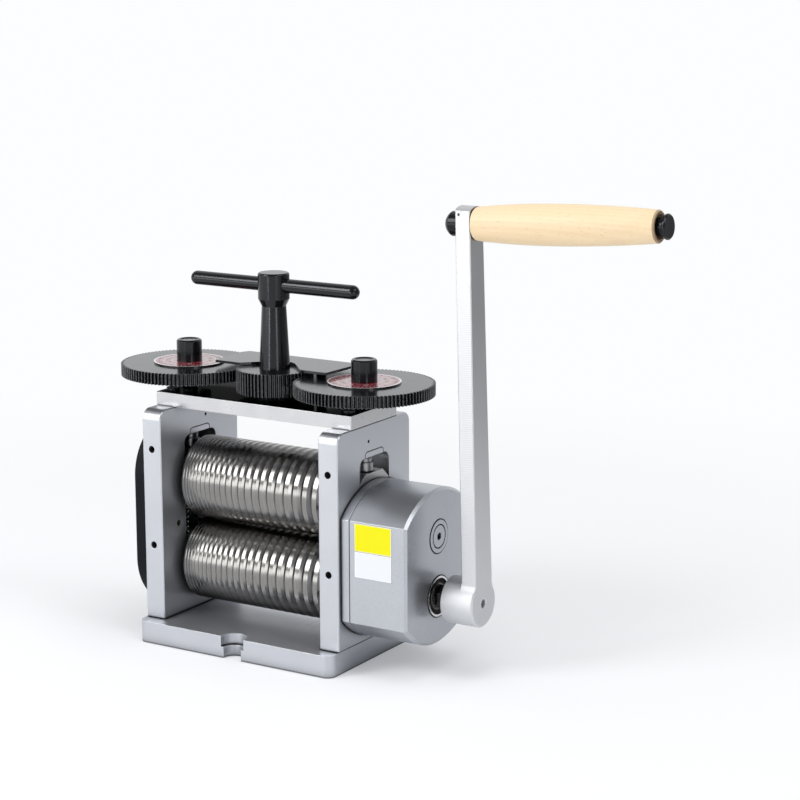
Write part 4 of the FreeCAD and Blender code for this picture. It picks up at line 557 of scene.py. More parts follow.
@dataclass(frozen=True)
class TurnedSteel(Finish):
    """Polished steel turned about the X axis, with rings from the tool, faint smears and painted
    shade in crevices.
    """

    colour: Colour
    roughness: float = 0.2
    rings: Layer = Layer(0.09 * MM, 3.0, 0.7, (1.0, 0.05, 0.05), light=0.12, rough=0.08, height=0.6)
    bands: Layer = Layer(0.9 * MM, stretch=(1.0, 0.02, 0.02), light=0.34, height=0.4)
    smears: Layer = Layer(9 * MM, 4.0, 0.62, (1.0, 0.55, 0.55), light=0.30, rough=0.16)
    specks: Layer = Layer(3.4 * MM, cells=True, window=(0.0, 0.07), light=0.28)
    depth: float = 0.0035 * MM
    crevice_shade: Gap = Gap(1.6 * MM, 0.3, 0.12, 0.8)

    def surface(self, g: Graph) -> Signal:
        """The shader."""
        rings, bands, smears, specks = g.patterns(self.rings, self.bands, self.smears, self.specks)
        # Painted shade: the colour darkens in crevices.
        light = (1.0 + bands.light + smears.light + rings.light) * g.open_share(self.crevice_shade)
        clean = 1.0 - self.specks.light + specks.light
        return g.principled(
            Base_Color=g.shaded(self.colour, light * clean), Metallic=1.0,
            Roughness=self.roughness + smears.rough + rings.rough,
            Normal=g.bump(rings.height + bands.height, self.depth),
        )


@dataclass(frozen=True)
class BlackOxide(Finish):
    """Oiled black oxide on steel, rubbed to bare metal along its sharp edges.

    With turned_at, the faces keep the rings of a lathe, about two upright axes which stand at
    that distance to the left and right of the middle.
    """

    roughness: float = 0.2
    bare: float = 0.5
    gloss: float = 0.45
    rubbed: Colour = (0.20, 0.20, 0.21)
    turned_at: float = 0.0
    colour: Colour = (0.0045, 0.0045, 0.0055)
    tint: Colour = (0.91, 0.95, 1.0)
    clouds: Layer = Layer(7 * MM, 5.0, 0.62, light=0.9, rough=0.12)
    grain: Layer = Layer(0.22 * MM, light=0.5, rough=0.05)
    rubs: Layer = Layer(1.6 * MM, 3.0, window=(0.28, 0.62))
    edge: float = 0.22 * MM
    depth: float = 0.0025 * MM
    ring_pitch: float = 0.32 * MM
    ring_height: float = 0.6
    ring_grain: float = 0.4

    def surface(self, g: Graph) -> Signal:
        """The shader."""
        clouds, grain, rubs = g.patterns(self.clouds, self.grain, self.rubs)
        normal = g.soft_edges(self.edge)
        bare = g.edge_mask(normal) * rubs * self.bare
        light = 1.0 + clouds.light + grain.light
        height = grain
        if self.turned_at:
            x, y, _ = g.axes()
            away = (abs(x) - self.turned_at).hypot(y)
            height = grain * self.ring_grain + away.wave(self.ring_pitch) * self.ring_height
        return g.principled(
            Base_Color=g.blend(bare, g.shaded(self.colour, light), self.rubbed), Metallic=bare,
            Roughness=self.roughness + clouds.rough + grain.rough,
            Specular_IOR_Level=self.gloss, Specular_Tint=self.tint,
            Normal=g.bump(height, self.depth, normal),
        )


@dataclass(frozen=True)
class MilledArm(Finish):
    """Bright alloy bar whose wide faces keep the arcs that a fly cutter leaves. Its boss has
    painted light on it, and its worn edges are painted lighter as a highlight.
    """

    colour: Colour = (0.61, 0.617, 0.634)
    metallic: float = 0.9
    roughness: float = 0.44
    middle: float = 134.5 * MM
    face_window: Span = (0.8, 0.97)
    boss_top: float = 54.5 * MM
    boss_soft: float = 1.0 * MM
    # Painted light on the boss, and how much rougher the boss is.
    boss_painted_light: float = 0.12
    boss_rough: float = 0.14
    end_shade: float = 0.1
    end_polish: float = 0.1
    drift: Layer = Layer(9 * MM)
    arc_drift: float = 0.7 * MM
    arc_bend: float = 26.0
    arc_pitch: float = 1.25 * MM
    arc_middle: float = 0.6
    arc_light: float = 0.11
    arc_polish: float = 0.05
    arc_height: float = 0.5
    fine: Layer = Layer(0.12 * MM, 3.0, 0.7, (0.08, 1.0, 1.0), rough=0.06, height=0.22)
    grain: Layer = Layer(0.4 * MM, 3.0, light=0.10, height=0.3)
    clouds: Layer = Layer(18 * MM, 3.0, light=0.10, rough=0.06)
    depth: float = 0.012 * MM
    edge: float = 0.35 * MM
    edge_highlight_share: float = 0.4
    edge_highlight_colour: Colour = (0.86, 0.87, 0.88)

    def surface(self, g: Graph) -> Signal:
        """The shader."""
        drift, fine, grain, clouds = g.patterns(self.drift, self.fine, self.grain, self.clouds)
        x, _, z = g.axes()
        facing_x, facing_y, _ = g.axes(Spot.FACING)
        ends = abs(facing_x).over(*self.face_window)
        above = z.over(self.boss_top - self.boss_soft, self.boss_top + self.boss_soft)
        boss = (1.0 - above) * (1.0 - ends)
        wide = abs(facing_y).over(*self.face_window) * (1.0 - boss)
        across = x - self.middle
        bent = z + across * across * self.arc_bend + drift * self.arc_drift
        arcs = bent.wave(self.arc_pitch)
        light = 1.0 + clouds.light + grain.light + wide * (arcs - self.arc_middle) * self.arc_light
        # Painted light: the boss is lightened; it is rougher too.
        light = light + boss * self.boss_painted_light - ends * self.end_shade
        rough = self.roughness + clouds.rough + fine.rough - wide * arcs * self.arc_polish
        rough = rough - ends * self.end_polish + boss * self.boss_rough
        height = wide * arcs * self.arc_height + fine.height + grain.height
        normal = g.soft_edges(self.edge)
        # Worn edges painted lighter as an edge highlight.
        edge_wear_and_highlight = g.edge_mask(normal) * self.edge_highlight_share
        return g.principled(
            Base_Color=g.blend(edge_wear_and_highlight, g.shaded(self.colour, light), self.edge_highlight_colour),
            Metallic=self.metallic, Roughness=rough, Normal=g.bump(height, self.depth, normal),
        )


@dataclass(frozen=True)
class MouldedPlastic(Finish):
    """Moulded plastic or rubber with a fine spark-eroded grain."""

    colour: Colour
    roughness: float
    gloss: float = 0.3
    depth: float = 0.02 * MM
    relief: float = 0.5
    grain: Layer = Layer(0.35 * MM, cells=True)
    scuffs: Layer = Layer(11 * MM, 6.0, 0.66, (1.0, 1.0, 0.35), light=0.5, rough=0.18)
    dust: Layer = Layer(2.2 * MM, 4.0, 0.7, window=(0.60, 0.78), light=0.35, rough=0.06)
    edge: float = 0.4 * MM

    def surface(self, g: Graph) -> Signal:
        """The shader."""
        grain, scuffs, dust = g.patterns(self.grain, self.scuffs, self.dust)
        return g.principled(
            Base_Color=g.shaded(self.colour, 1.0 + scuffs.light + dust.light),
            Roughness=self.roughness + scuffs.rough + dust.rough, Specular_IOR_Level=self.gloss,
            Normal=g.bump(grain, self.depth, g.soft_edges(self.edge), self.relief),
        )


@dataclass(frozen=True)
class PrintedDial(Finish):
    """Dial disc under a clear film: white rim, red field and fine rings, about its own axis. Its
    side wall is painted near black as shade.
    """

    axis_x: float
    red: Colour = (0.21, 0.008, 0.018)
    faded_red: Colour = (0.40, 0.18, 0.19)
    white: Colour = (0.60, 0.59, 0.61)
    # Near-black side wall: a painted shade.
    side: Colour = (0.015, 0.015, 0.017)
    rim: float = 20.2 * MM
    rim_soft: float = 0.05 * MM
    rings: tuple[Span, ...] = ((15.28 * MM, 15.52 * MM), (10.3 * MM, 10.55 * MM))
    ring_soft: float = 0.04 * MM
    top_window: Span = (0.2, 0.6)
    ink: Layer = Layer(0.5 * MM, 3.0, light=0.16, rough=0.06)
    wear: Layer = Layer(4 * MM, 5.0, 0.7, window=(0.58, 0.8), rough=0.2)
    fade: float = 0.12
    roughness: float = 0.24
    coat: float = 0.8
    coat_roughness: float = 0.05
    depth: float = 0.004 * MM
    edge: float = 0.2 * MM

    def surface(self, g: Graph) -> Signal:
        """The shader."""
        ink, wear = g.patterns(self.ink, self.wear)
        x, y, _ = g.axes()
        away = (x - self.axis_x).hypot(y)
        rim = away.over(self.rim - self.rim_soft, self.rim + self.rim_soft)
        rings = [away.between(low, high, self.ring_soft) for low, high in self.rings]
        field_red = g.shaded(self.red, 1.0 + ink.light)
        field_red = g.blend(wear * self.fade, field_red, self.faded_red)
        printed = g.blend(rim.greatest(*rings), field_red, self.white)
        # Faces not turned up take the side colour, a painted shade.
        on_top = g.axes(Spot.FACING)[2].over(*self.top_window)
        return g.principled(
            Base_Color=g.blend(on_top, self.side, printed),
            Roughness=self.roughness + wear.rough + ink.rough,
            Coat_Weight=self.coat, Coat_Roughness=self.coat_roughness,
            Normal=g.bump(ink, self.depth, g.soft_edges(self.edge)),
        )


@dataclass(frozen=True)
class Beech(Finish):
    """Pale sanded beech turned about the grip's axis, with short darker flecks. Its end faces are
    painted dark as shade.
    """

    pale: Colour = (0.79, 0.62, 0.40)
    deep: Colour = (0.69, 0.50, 0.30)
    fleck: Colour = (0.50, 0.31, 0.15)
    # Dark brown of the painted shade on the end faces.
    end_shade_colour: Colour = (0.12, 0.06, 0.035)
    fibres: Layer = Layer(7 * MM, 3.0, 0.55, (0.10, 1.0, 1.0), light=0.75)
    fine: Layer = Layer(0.7 * MM, 3.0, 0.6, (0.05, 1.0, 1.0), light=0.25, rough=0.12, height=0.5)
    unflecked: Layer = Layer(
        1.0 * MM, stretch=(0.16, 1.0, 1.0), cells=True, window=(0.10, 0.24), height=0.35
    )
    smudges: Layer = Layer(16 * MM, 5.0, 0.6, (0.6, 1.0, 1.0), window=(0.52, 0.72))
    pith_y: float = -30 * MM
    pith_z: float = 235 * MM
    ring_pitch: float = 2.3 * MM
    ring_wander: float = 5.0
    ring_tone: float = 0.35
    ring_height: float = 0.15
    tone: float = 0.15
    deep_share: float = 0.5
    fleck_share: float = 0.40
    fleck_least: float = 0.4
    fleck_more: float = 0.9
    smudge_share: float = 0.28
    end_window: Span = (0.45, 0.85)
    end_shade_share: float = 0.8
    end_rough: float = 0.18
    roughness: float = 0.42
    gloss: float = 0.42
    depth: float = 0.03 * MM
    relief: float = 0.7
    edge: float = 0.4 * MM

    def surface(self, g: Graph) -> Signal:
        """The shader."""
        fibres, fine, unflecked, smudges = g.patterns(
            self.fibres, self.fine, self.unflecked, self.smudges
        )
        _, y, z = g.axes()
        ends = abs(g.axes(Spot.FACING)[0]).over(*self.end_window)
        from_pith = (y - self.pith_y).hypot(z - self.pith_z)
        rings = from_pith.wave(self.ring_pitch, fibres * self.ring_wander)
        tone = (self.tone + fibres.light + rings * self.ring_tone + fine.light).over(0.0, 1.0)
        flecked = (1.0 - unflecked) * self.fleck_share
        flecked = flecked * (self.fleck_least + fibres * self.fleck_more)
        base = g.blend(tone * self.deep_share, self.pale, self.deep)
        base = g.blend(flecked, base, self.fleck)
        base = g.blend(smudges * self.smudge_share, base, self.deep)
        # Painted shade: the end faces are darkened.
        base = g.blend(ends * self.end_shade_share, base, self.end_shade_colour)
        height = fine.height + unflecked.height + rings * self.ring_height
        return g.principled(
            Base_Color=base, Roughness=self.roughness + fine.rough + ends * self.end_rough,
            Specular_IOR_Level=self.gloss,
            Normal=g.bump(height, self.depth, g.soft_edges(self.edge), self.relief),
        )


@dataclass(frozen=True)
class StickerFilm(Finish):
    """Blank adhesive film, printed in one colour with a paler cut edge."""

    colour: Colour
    low: Triple
    high: Triple
    border: float = 0.35 * MM
    border_soft: float = 0.08 * MM
    pale: float = 0.62
    pale_tint: float = 0.25
    ripple: Layer = Layer(9 * MM, rough=0.12)
    ink: Layer = Layer(0.25 * MM, light=0.08, rough=0.05, height=0.05)
    roughness: float = 0.40
    gloss: float = 0.15
    depth: float = 0.12 * MM
    relief: float = 0.35

    def surface(self, g: Graph) -> Signal:
        """The shader."""
        ripple, ink = g.patterns(self.ripple, self.ink)
        x, _, z = g.axes()
        inside = 1.0
        for part, low, high in ((x, self.low[0], self.high[0]), (z, self.low[2], self.high[2])):
            inside = inside * part.between(low + self.border, high - self.border, self.border_soft)
        pale = tuple(self.pale_tint * part + self.pale for part in self.colour)
        return g.principled(
            Base_Color=g.blend(inside, pale, g.shaded(self.colour, 1.0 + ink.light)),
            Roughness=self.roughness + ripple.rough + ink.rough, Specular_IOR_Level=self.gloss,
            Normal=g.bump(ripple + ink.height, self.depth, strength=self.relief),
        )


@dataclass(frozen=True)
class StudioFloor(Finish):
    """Pale floor that keeps the shadow and turns into the white background further out.

    Mirrors see it white in front of the mill, and darker towards the back.
    """

    colour: Colour = (0.88, 0.89, 0.91)
    glow: Colour = (0.97, 0.985, 1.0)
    plain_to: float = 0.16
    white_from: float = 0.75
    white_least: float = 0.25
    front_edge: float = 0.06
    front_share: float = 0.9
    mirrored_share: float = 0.85
    fade_way: Span = (0.57, 0.82)
    fade: Span = (0.1, 1.3)
    faded: float = 0.75

    def surface(self, g: Graph) -> Signal:
        """The shader."""
        x, y, _ = g.axes()
        mirrored = g.ray(Ray.MIRRORED)
        behind = (x * self.fade_way[0] + y * self.fade_way[1]).over(*self.fade)
        glow = g.shaded(self.glow, 1.0 - mirrored * behind * self.faded)
        away = x.hypot(y).over(self.plain_to, self.white_from)
        in_front = self.front_share * (1.0 - y.over(-self.plain_to, -self.front_edge))
        direct = g.ray(Ray.SEEN).greatest(g.ray(Ray.THROUGH))
        straight = direct * (away * (1.0 - self.white_least) + self.white_least)
        share = straight.greatest(mirrored * away.greatest(in_front) * self.mirrored_share)
        plain = g.node("ShaderNodeBsdfDiffuse", {}, {"Color": self.colour})
        white = g.node("ShaderNodeEmission", {}, {"Color": glow, "Strength": 1.0})
        return g.node("ShaderNodeMixShader", {}, {0: share, 1: plain, 2: white})


# ---- modelling helpers


def latest() -> Object:
    """The object that an operator has just added, which is the only one selected."""
    return bpy.context.view_layer.objects.active


def only(obj: Object) -> Object:
    """Selects one object and nothing else, and returns it."""
    bpy.ops.object.select_all(action="DESELECT")
    obj.select_set(True)
    bpy.context.view_layer.objects.active = obj
    return obj


def new_piece(name: str) -> Object:
    """Names the object that an operator has just added, and returns it."""
    obj = latest()
    obj.name = name
    obj.data.name = name
    return obj


def joined(name: str, objects: Sequence[Object]) -> Object:
    """Joins two or more meshes into one object of that name."""
    only(objects[0])
    for obj in objects[1:]:
        obj.select_set(True)
    bpy.ops.object.join()
    return new_piece(name)


def settled(obj: Object) -> Object:
    """Puts an object's place, turn and size into its mesh."""
    only(obj)
    bpy.ops.object.transform_apply(location=True, rotation=True, scale=True)
    return obj


def with_modifier(obj: Object, kind: str, **settings: Any) -> Object:
    """Adds a modifier and applies it.

    Args:
        obj: The mesh object.
        kind: The modifier's Blender type.
        settings: Its properties.

    Returns:
        The object.
    """
    only(obj)
    modifier = obj.modifiers.new(kind.title(), kind)
    for key, value in settings.items():
        setattr(modifier, key, value)
    bpy.ops.object.modifier_apply(modifier=modifier.name)
    return obj


@contextmanager
def all_points(obj: Object) -> Iterator[None]:
    """Edit Mode on one object, with all of its points selected."""
    only(obj)
    bpy.ops.object.mode_set(mode="EDIT")
    bpy.ops.mesh.select_all(action="SELECT")
    yield
    bpy.ops.object.mode_set(mode="OBJECT")


def laid(obj: Object, x: float, z: float = 0.0) -> Object:
    """Moves a mesh inside its object, merges double points and turns every face outwards.

    Args:
        obj: The mesh object.
        x: How far it goes along X.
        z: How far it goes up.

    Returns:
        The object.
    """
    with all_points(obj):
        bpy.ops.transform.translate(value=(x, 0, z))
        bpy.ops.mesh.remove_doubles(threshold=MERGE)
        bpy.ops.mesh.normals_make_consistent(inside=False)
    return obj


def swept(name: str, points: Sequence[Span], steps: int, angle: float, **settings: Any) -> Object:
    """Draws a line by extruding one point along it, and sweeps it round the Z axis.

    Args:
        name: The object's name.
        points: (distance from the axis, height) pairs of the line.
        steps: Steps of one sweep.
        angle: How far one sweep goes, in radians.
        settings: More properties of the Screw modifier.

    Returns:
        The swept mesh.
    """
    bpy.ops.mesh.primitive_plane_add(size=MM, location=(0, 0, 0))
    line = new_piece(name)
    with all_points(line):
        bpy.ops.mesh.merge(type="CENTER")
        bpy.ops.transform.translate(value=(points[0][0], 0, points[0][1]))
        for (r0, z0), (r1, z1) in zip(points, points[1:]):
            step = {"value": (r1 - r0, 0, z1 - z0)}
            bpy.ops.mesh.extrude_region_move(TRANSFORM_OT_translate=step)
    return with_modifier(
        line, "SCREW", angle=angle, steps=steps, render_steps=steps, axis="Z",
        use_merge_vertices=True, merge_threshold=MERGE, **settings,
    )


def attach(piece: Object, body: str, slot: str, *nodes: str) -> None:
    """Makes a piece ride on a body and stand for nodes.

    Args:
        piece: The piece.
        body: The body that it moves with.
        slot: Not used.
        nodes: CAD nodes that it replaces.
    """
    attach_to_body(piece, body)
    if nodes:
        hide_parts(*nodes)
    LOG.info("%s rides on %s, %d faces", piece.name, body, len(piece.data.polygons))


# ---- sub-assemblies


class Assembly:
    """A group of the mill's pieces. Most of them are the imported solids."""

    def build(self) -> None:
        """Adds nothing, unless an assembly has pieces of its own."""

    def dress(self) -> None:
        """Gives the pieces their finishes."""
        raise NotImplementedError


@dataclass
class Frame(Assembly):
    """Base, cheeks, top plate and the bearing blocks between them."""

    silver: Colour = (0.548, 0.563, 0.6)
    plate: Colour = (0.64, 0.64, 0.65)
    bare: Colour = (0.42, 0.42, 0.42)
    bronze: Colour = (0.50, 0.31, 0.13)
    nut_body: float = 11.0 * MM

    def dress(self) -> None:
        """Gives the pieces their finishes."""
        BlastedSteel("blasted_steel", self.silver).cover("base_plate", "left_cheek", "right_cheek")
        # The top plate's upward faces are painted dark as shade.
        GroundSteel("ground_plate", self.plate, top_shade_and_polish=0.92, grazing=0.3).cover("top_plate")
        GroundSteel("ground_blocks", self.bare, 0.3, (1.0, 1.0, 0.03)).cover(
            "lower_left_block", "lower_right_block", "upper_left_block", "upper_right_block"
        )
        low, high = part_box("pressure_nuts")
        slot_top = high.z - self.nut_body
        NutSteel("nut_steel", self.silver, (high.y - low.y) / 2, slot_top).cover("pressure_nuts")
        GroundSteel("bright_wire", self.bare, 0.25, (1.0, 1.0, 1.0)).cover(
            "return_springs", "base_screws"
        )
        BlackOxide("black_screws").cover("top_plate_screws", "cover_screws")
        GroundSteel("bronze_bushes", self.bronze, 0.34, (0.1, 1.0, 1.0)).cover(
            "lower_bushes", "upper_bushes", "layshaft_bushes"
        )


@dataclass
class Rolls(Assembly):
    """The two grooved rolls with their coupling gears and the cover over them."""

    steel: Colour = (0.272, 0.265, 0.256)
    gear_steel: Colour = (0.42, 0.42, 0.42)
    cover_black: Colour = (0.006, 0.0065, 0.009)

    def dress(self) -> None:
        """Gives the pieces their finishes."""
        TurnedSteel("turned_rolls", self.steel).cover("upper_roll", "lower_roll")
        GroundSteel("gear_steel", self.gear_steel, 0.33, (1.0, 0.2, 0.2)).cover(
            "upper_coupling_gear", "lower_coupling_gear", "upper_gear_clip", "lower_gear_clip",
            "final_gear",
        )
        MouldedPlastic("cover_plastic", self.cover_black, 0.4, gloss=0.1).cover("gear_cover")


@dataclass
class DialPrint:
    """Ticks and plain numbers raised a hair over a dial, built about the Z axis."""

    outer: float = 19.3 * MM
    long_tick: float = 3.0 * MM
    short_tick: float = 1.8 * MM
    tick_width: float = 0.28 * MM
    ticks: int = 50
    numbers: int = 10
    number_step: int = 20
    number_size: float = 3.1 * MM
    number_radius: float = 13.0 * MM
    thickness: float = 0.05 * MM

    def _ticks(self, name: str, count: int, length: float) -> Object:
        """A ring of equal ticks.

        Args:
            name: The object's name.
            count: How many ticks.
            length: Length of each.

        Returns:
            The ring, centred on the origin.
        """
        middle = self.outer - length / 2
        bpy.ops.mesh.primitive_cube_add(size=1, location=(0, -middle, self.thickness / 2))
        tick = new_piece(name)
        tick.scale = (self.tick_width, length, self.thickness)
        settled(tick)
        bpy.ops.object.empty_add(location=(0, 0, 0), rotation=(0, 0, FULL_TURN / count))
        turn = latest()
        with_modifier(tick, "ARRAY", count=count, use_relative_offset=False,
                      use_object_offset=True, offset_object=turn)
        bpy.data.objects.remove(turn)
        return tick

    def _number(self, index: int) -> Object:
        """One number at its place on the ring."""
        turn = FULL_TURN * index / self.numbers
        place = Vector((math.sin(turn), -math.cos(turn), 0)) * self.number_radius
        bpy.ops.object.text_add(location=place, rotation=(0, 0, turn))
        text = latest()
        text.data.body = str(index * self.number_step)
        text.data.size = self.number_size
        text.data.align_x = "CENTER"
        text.data.align_y = "CENTER"
        text.data.extrude = self.thickness / 2
        bpy.ops.object.convert(target="MESH")
        return settled(latest())

    def build(self, name: str, x: float, z: float) -> Object:
        """Makes the print and lays it on a dial.

        Args:
            name: The piece's name.
            x: The dial's axis.
            z: The dial's top.

        Returns:
            The piece.
        """
        parts = [self._ticks(name + "_fine", self.ticks, self.short_tick)]
        parts.append(self._ticks(name + "_tens", self.numbers, self.long_tick))
        parts.extend(self._number(index) for index in range(self.numbers))
        return laid(joined(name, parts), x, z)


@dataclass
class ThreadedScrew:
    """Pressure screw with a cut thread, in the place of its plain solid."""

    radius: float = 4.95 * MM
    root: float = 4.25 * MM
    pitch: float = 2.0 * MM
    crest_share: float = 0.12
    thread_top: float = 151.0 * MM
    thread_sunk: float = 0.1 * MM
    run_out: float = 0.2 * MM
    spindle: float = 4.5 * MM
    spindle_chamfer: float = 0.3 * MM
    neck: float = 4.1 * MM
    neck_height: float = 2.0 * MM
    foot_height: float = 5.6 * MM
    foot_chamfer: float = 0.5 * MM
    foot_slope: float = 0.3 * MM
    steps: int = 40
    smooth_below: float = math.radians(30)

    def build(self, name: str, node: str) -> Object:
        """Makes the screw where its solid stands.

        Args:
            name: The piece's name.
            node: The solid's node.

        Returns:
            The piece.
        """
        low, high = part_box(node)
        foot = low.z + self.foot_height
        neck_top = foot + self.neck_height
        start = neck_top + self.run_out
        core = swept(name, [
            (0.0, low.z), (self.radius - self.foot_chamfer, low.z),
            (self.radius, low.z + self.foot_chamfer), (self.radius, foot - self.foot_slope),
            (self.neck, foot), (self.neck, neck_top), (self.root, start),
            (self.root, self.thread_top), (self.spindle, self.thread_top),
            (self.spindle, high.z - self.spindle_chamfer),
            (self.spindle - self.spindle_chamfer, high.z), (0.0, high.z),
        ], self.steps, FULL_TURN)
        crest = self.crest_share * self.pitch
        flank = (self.pitch - 2 * crest) / 2
        sunk = self.root - self.thread_sunk
        turns = int((self.thread_top - neck_top) / self.pitch) - 1
        thread = swept(name + "_thread", [
            (sunk, start), (self.radius, start + flank), (self.radius, start + flank + crest),
            (sunk, start + 2 * flank + crest),
        ], self.steps, -FULL_TURN, screw_offset=self.pitch, iterations=turns)
        with all_points(thread):
            bpy.ops.mesh.remove_doubles(threshold=2 * MERGE)
        piece = laid(joined(name, [core, thread]), (low.x + high.x) / 2)
        bpy.ops.object.shade_smooth_by_angle(angle=self.smooth_below)
        return piece


@dataclass
class ScrewDown(Assembly):
    """Pressure screws, their gears and dials, and the T-handle that turns them."""

    sides: tuple[tuple[str, float], ...] = (("left", -61.5 * MM), ("right", 61.5 * MM))
    print_white: Colour = (0.46, 0.42, 0.44)
    # Steel of the pressure screws, painted darker as shade.
    shaded_screw_steel: Colour = (0.33, 0.33, 0.335)
    rubbed_teeth: Colour = (0.42, 0.42, 0.43)
    dial_print: DialPrint = field(default_factory=DialPrint)
    screw: ThreadedScrew = field(default_factory=ThreadedScrew)

    def build(self) -> None:
        """Adds the dials' print and the threaded screws."""
        for side, x in self.sides:
            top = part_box(f"{side}_dial")[1].z
            marks = self.dial_print.build(f"{side}_dial_print", x, top)
            attach(marks, f"{side}_screw", "dial_face")
            node = f"{side}_pressure_screw"
            threaded = self.screw.build(f"{side}_threaded_screw", node)
            attach(threaded, f"{side}_screw", "bright_steel", node)

    def dress(self) -> None:
        """Gives the pieces their finishes."""
        turned_at = abs(self.sides[0][1])
        BlackOxide("black_gears", 0.17, 0.9, 0.6, self.rubbed_teeth, turned_at).cover(
            "left_screw_gear", "right_screw_gear", "handle_pinion"
        )
        BlackOxide("black_handle", 0.16, 0.5, 0.42).cover(
            "handle_column", "handle_bar", "left_knob", "right_knob"
        )
        BlackOxide("black_keeper", 0.12, 0.3, 0.75).cover(
            "keeper_plate", "keeper_standoffs", "handle_bush"
        )
        for side, x in self.sides:
            PrintedDial(f"{side}_dial_face", x).cover(f"{side}_dial")
        MouldedPlastic("dial_ink", self.print_white, 0.3, depth=0.004 * MM).cover(
            "left_dial_print", "right_dial_print"
        )
        # The threaded screws wear a darker steel, a painted shade.
        GroundSteel("shaded_screw_steel", self.shaded_screw_steel, 0.28, (0.3, 0.3, 1.0)).cover(
            "left_threaded_screw", "right_threaded_screw"
        )


@dataclass
class Gearbox(Assembly):
    """Cast gearbox on the right cheek with the gears inside and its two blank stickers."""

    silver: Colour = (0.475, 0.49, 0.526)
    cast_grain: Layer = Layer(0.6 * MM, 3.0, 0.65, light=0.4, height=0.7)
    cast_depth: float = 0.02 * MM
    gear_steel: Colour = (0.40, 0.40, 0.40)
    ring_steel: Colour = (0.66, 0.66, 0.67)
    shaft_steel: Colour = (0.07, 0.066, 0.062)
    rubber: Colour = (0.008, 0.008, 0.008)
    yellow: Colour = (0.76, 0.71, 0.005)
    white: Colour = (0.72, 0.735, 0.77)

    def dress(self) -> None:
        """Gives the pieces their finishes."""
        BlastedSteel(
            "cast_silver", self.silver, 0.34, self.cast_grain, self.cast_depth, smooth_ends=True
        ).cover("gearbox_flange", "gearbox_housing", "layshaft_plug")
        GroundSteel("box_steel", self.gear_steel, 0.28, (1.0, 0.1, 0.1)).cover(
            "layshaft", "layshaft_pinion", "layshaft_gear", "crank_pinion", "housing_screws"
        )
        GroundSteel("bearing_steel", self.ring_steel, 0.2, (1.0, 0.1, 0.1)).cover("crank_bearing")
        GroundSteel("shaft_steel", self.shaft_steel, 0.25).cover("crank_shaft")
        MouldedPlastic("seal_rubber", self.rubber, 0.6, gloss=0.15).cover("shaft_seal")
        for node, colour in (("yellow_label", self.yellow), ("white_label", self.white)):
            low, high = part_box(node)
            StickerFilm(node + "_film", colour, tuple(low), tuple(high)).cover(node)


@dataclass
class Crank(Assembly):
    """Long crank arm with its bolt, cap and turned wooden grip."""

    def dress(self) -> None:
        """Gives the pieces their finishes."""
        MilledArm("milled_arm").cover("crank_arm")
        BlackOxide("black_bolt", 0.22, 0.9, 0.3).cover("crank_set_screw", "grip_bolt", "grip_cap")
        Beech("beech_grip").cover("wooden_grip")


# ---- studio


@dataclass(frozen=True)
class Softbox:
    """One large lamp that points at the mill."""

    name: str
    place: Triple
    width: float
    height: float
    power: float
    mirrored: bool = True

    def build(self, target: Vector) -> None:
        """Adds the lamp.

        Args:
            target: The point it faces.
        """
        way = target - Vector(self.place)
        turn = way.to_track_quat("-Z", "Y").to_euler()
        bpy.ops.object.light_add(type="AREA", location=self.place, rotation=turn)
        lamp = latest()
        lamp.name = self.name
        lamp.data.shape = "RECTANGLE"
        lamp.data.size = self.width
        lamp.data.size_y = self.height
        lamp.data.energy = self.power
        lamp.visible_glossy = self.mirrored


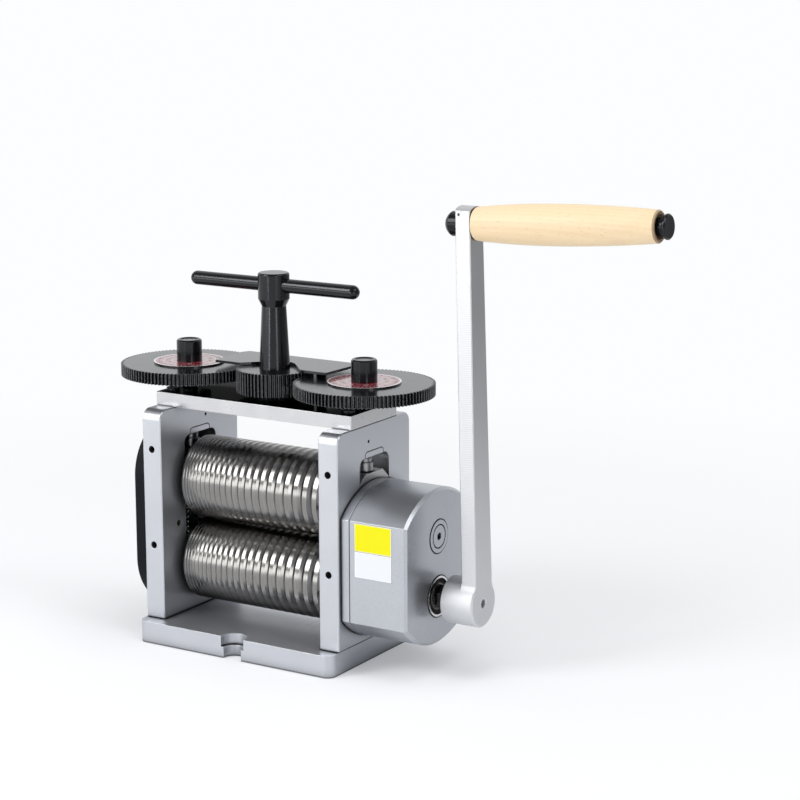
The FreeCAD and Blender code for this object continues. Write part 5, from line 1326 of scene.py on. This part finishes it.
@dataclass
class Studio:
    """Pale floor, soft lamps, even world light and the camera."""

    camera_place: Triple = (0.7310, -1.0495, 0.4131)
    camera_way: Triple = (-0.5133, 0.8332, -0.2058)
    camera_up: Triple = (-0.10602, 0.17642, 0.97859)
    lens: float = 100.96
    sensor: float = 36.0
    shift: float = 0.0014
    sight: float = 60.0
    target: Triple = (0.02, 0.0, 0.12)
    floor_size: float = 14.0
    floor_drop: float = 0.2 * MM
    world_colour: Colour = (0.97, 0.985, 1.0)
    world_light: float = 0.42
    world_mirrored: float = 0.26
    backdrop_way: Span = (-0.53, 0.85)
    backdrop: Span = (0.05, 0.75)
    boxes: tuple[Softbox, ...] = (
        Softbox("key_box", (-1.20, -1.90, 0.28), 2.3, 0.5, 10.5),
        Softbox("upper_box", (-0.82, -1.36, 1.15), 0.75, 0.8, 15.0),
        Softbox("top_box", (0.1, -0.1, 2.2), 1.5, 1.5, 19.0, mirrored=False),
        Softbox("side_box", (1.4, -0.1, 1.4), 0.8, 0.8, 7.0),
        Softbox("strip_box", (1.62, -1.13, 0.22), 0.4, 0.8, 4.0),
        Softbox("streak_box", (-0.16, -1.30, 0.20), 0.12, 0.36, 1.2),
    )

    def _floor(self) -> None:
        """Adds a wide floor under the mill."""
        place = (0, 0, -self.floor_drop)
        bpy.ops.mesh.primitive_plane_add(size=self.floor_size, location=place)
        floor = settled(new_piece("studio_floor"))
        StudioFloor("studio_floor").cover(floor.name)

    def _world(self) -> None:
        """Adds even light all round, and a white background.

        Mirrors see a dimmer world, with a white backdrop behind the mill.
        """
        world = bpy.data.worlds.new("studio_world")
        bpy.context.scene.world = world
        world.use_nodes = True
        g = Graph(world.node_tree)
        mirrored = g.ray(Ray.MIRRORED)
        x, y, _ = g.axes(Spot.SKY)
        behind = x * self.backdrop_way[0] + y * self.backdrop_way[1]
        backdrop = mirrored * behind.over(*self.backdrop)
        white = backdrop.greatest(g.ray(Ray.SEEN), g.ray(Ray.THROUGH))
        dim = self.world_light - mirrored * (self.world_light - self.world_mirrored)
        strength = dim + white * (1.0 - dim)
        inputs = {"Color": self.world_colour, "Strength": strength}
        g.close(g.node("ShaderNodeBackground", {}, inputs), "ShaderNodeOutputWorld")

    def _camera(self) -> None:
        """Adds the camera and makes it the scene's own."""
        way = Vector(self.camera_way).normalized()
        right = way.cross(Vector(self.camera_up).normalized()).normalized()
        turn = Matrix((right, right.cross(way), -way)).transposed()
        bpy.ops.object.camera_add(location=self.camera_place, rotation=turn.to_euler())
        camera = latest()
        camera.name = "studio_camera"
        camera.data.sensor_width = self.sensor
        camera.data.lens = self.lens
        camera.data.clip_end = self.sight
        camera.data.shift_x = self.shift
        bpy.context.scene.camera = camera

    def build(self) -> None:
        """Adds the floor, world, lamps and camera."""
        self._floor()
        self._world()
        for box in self.boxes:
            box.build(Vector(self.target))
        self._camera()
        bpy.context.scene.view_settings.view_transform = "Standard"


def main() -> None:
    """Builds and dresses every sub-assembly, then the studio."""
    for assembly in (Frame(), Rolls(), ScrewDown(), Gearbox(), Crank()):
        assembly.build()
        assembly.dress()
        LOG.info("%s done", type(assembly).__name__)
    Studio().build()


if __name__ == "__main__":
    main()
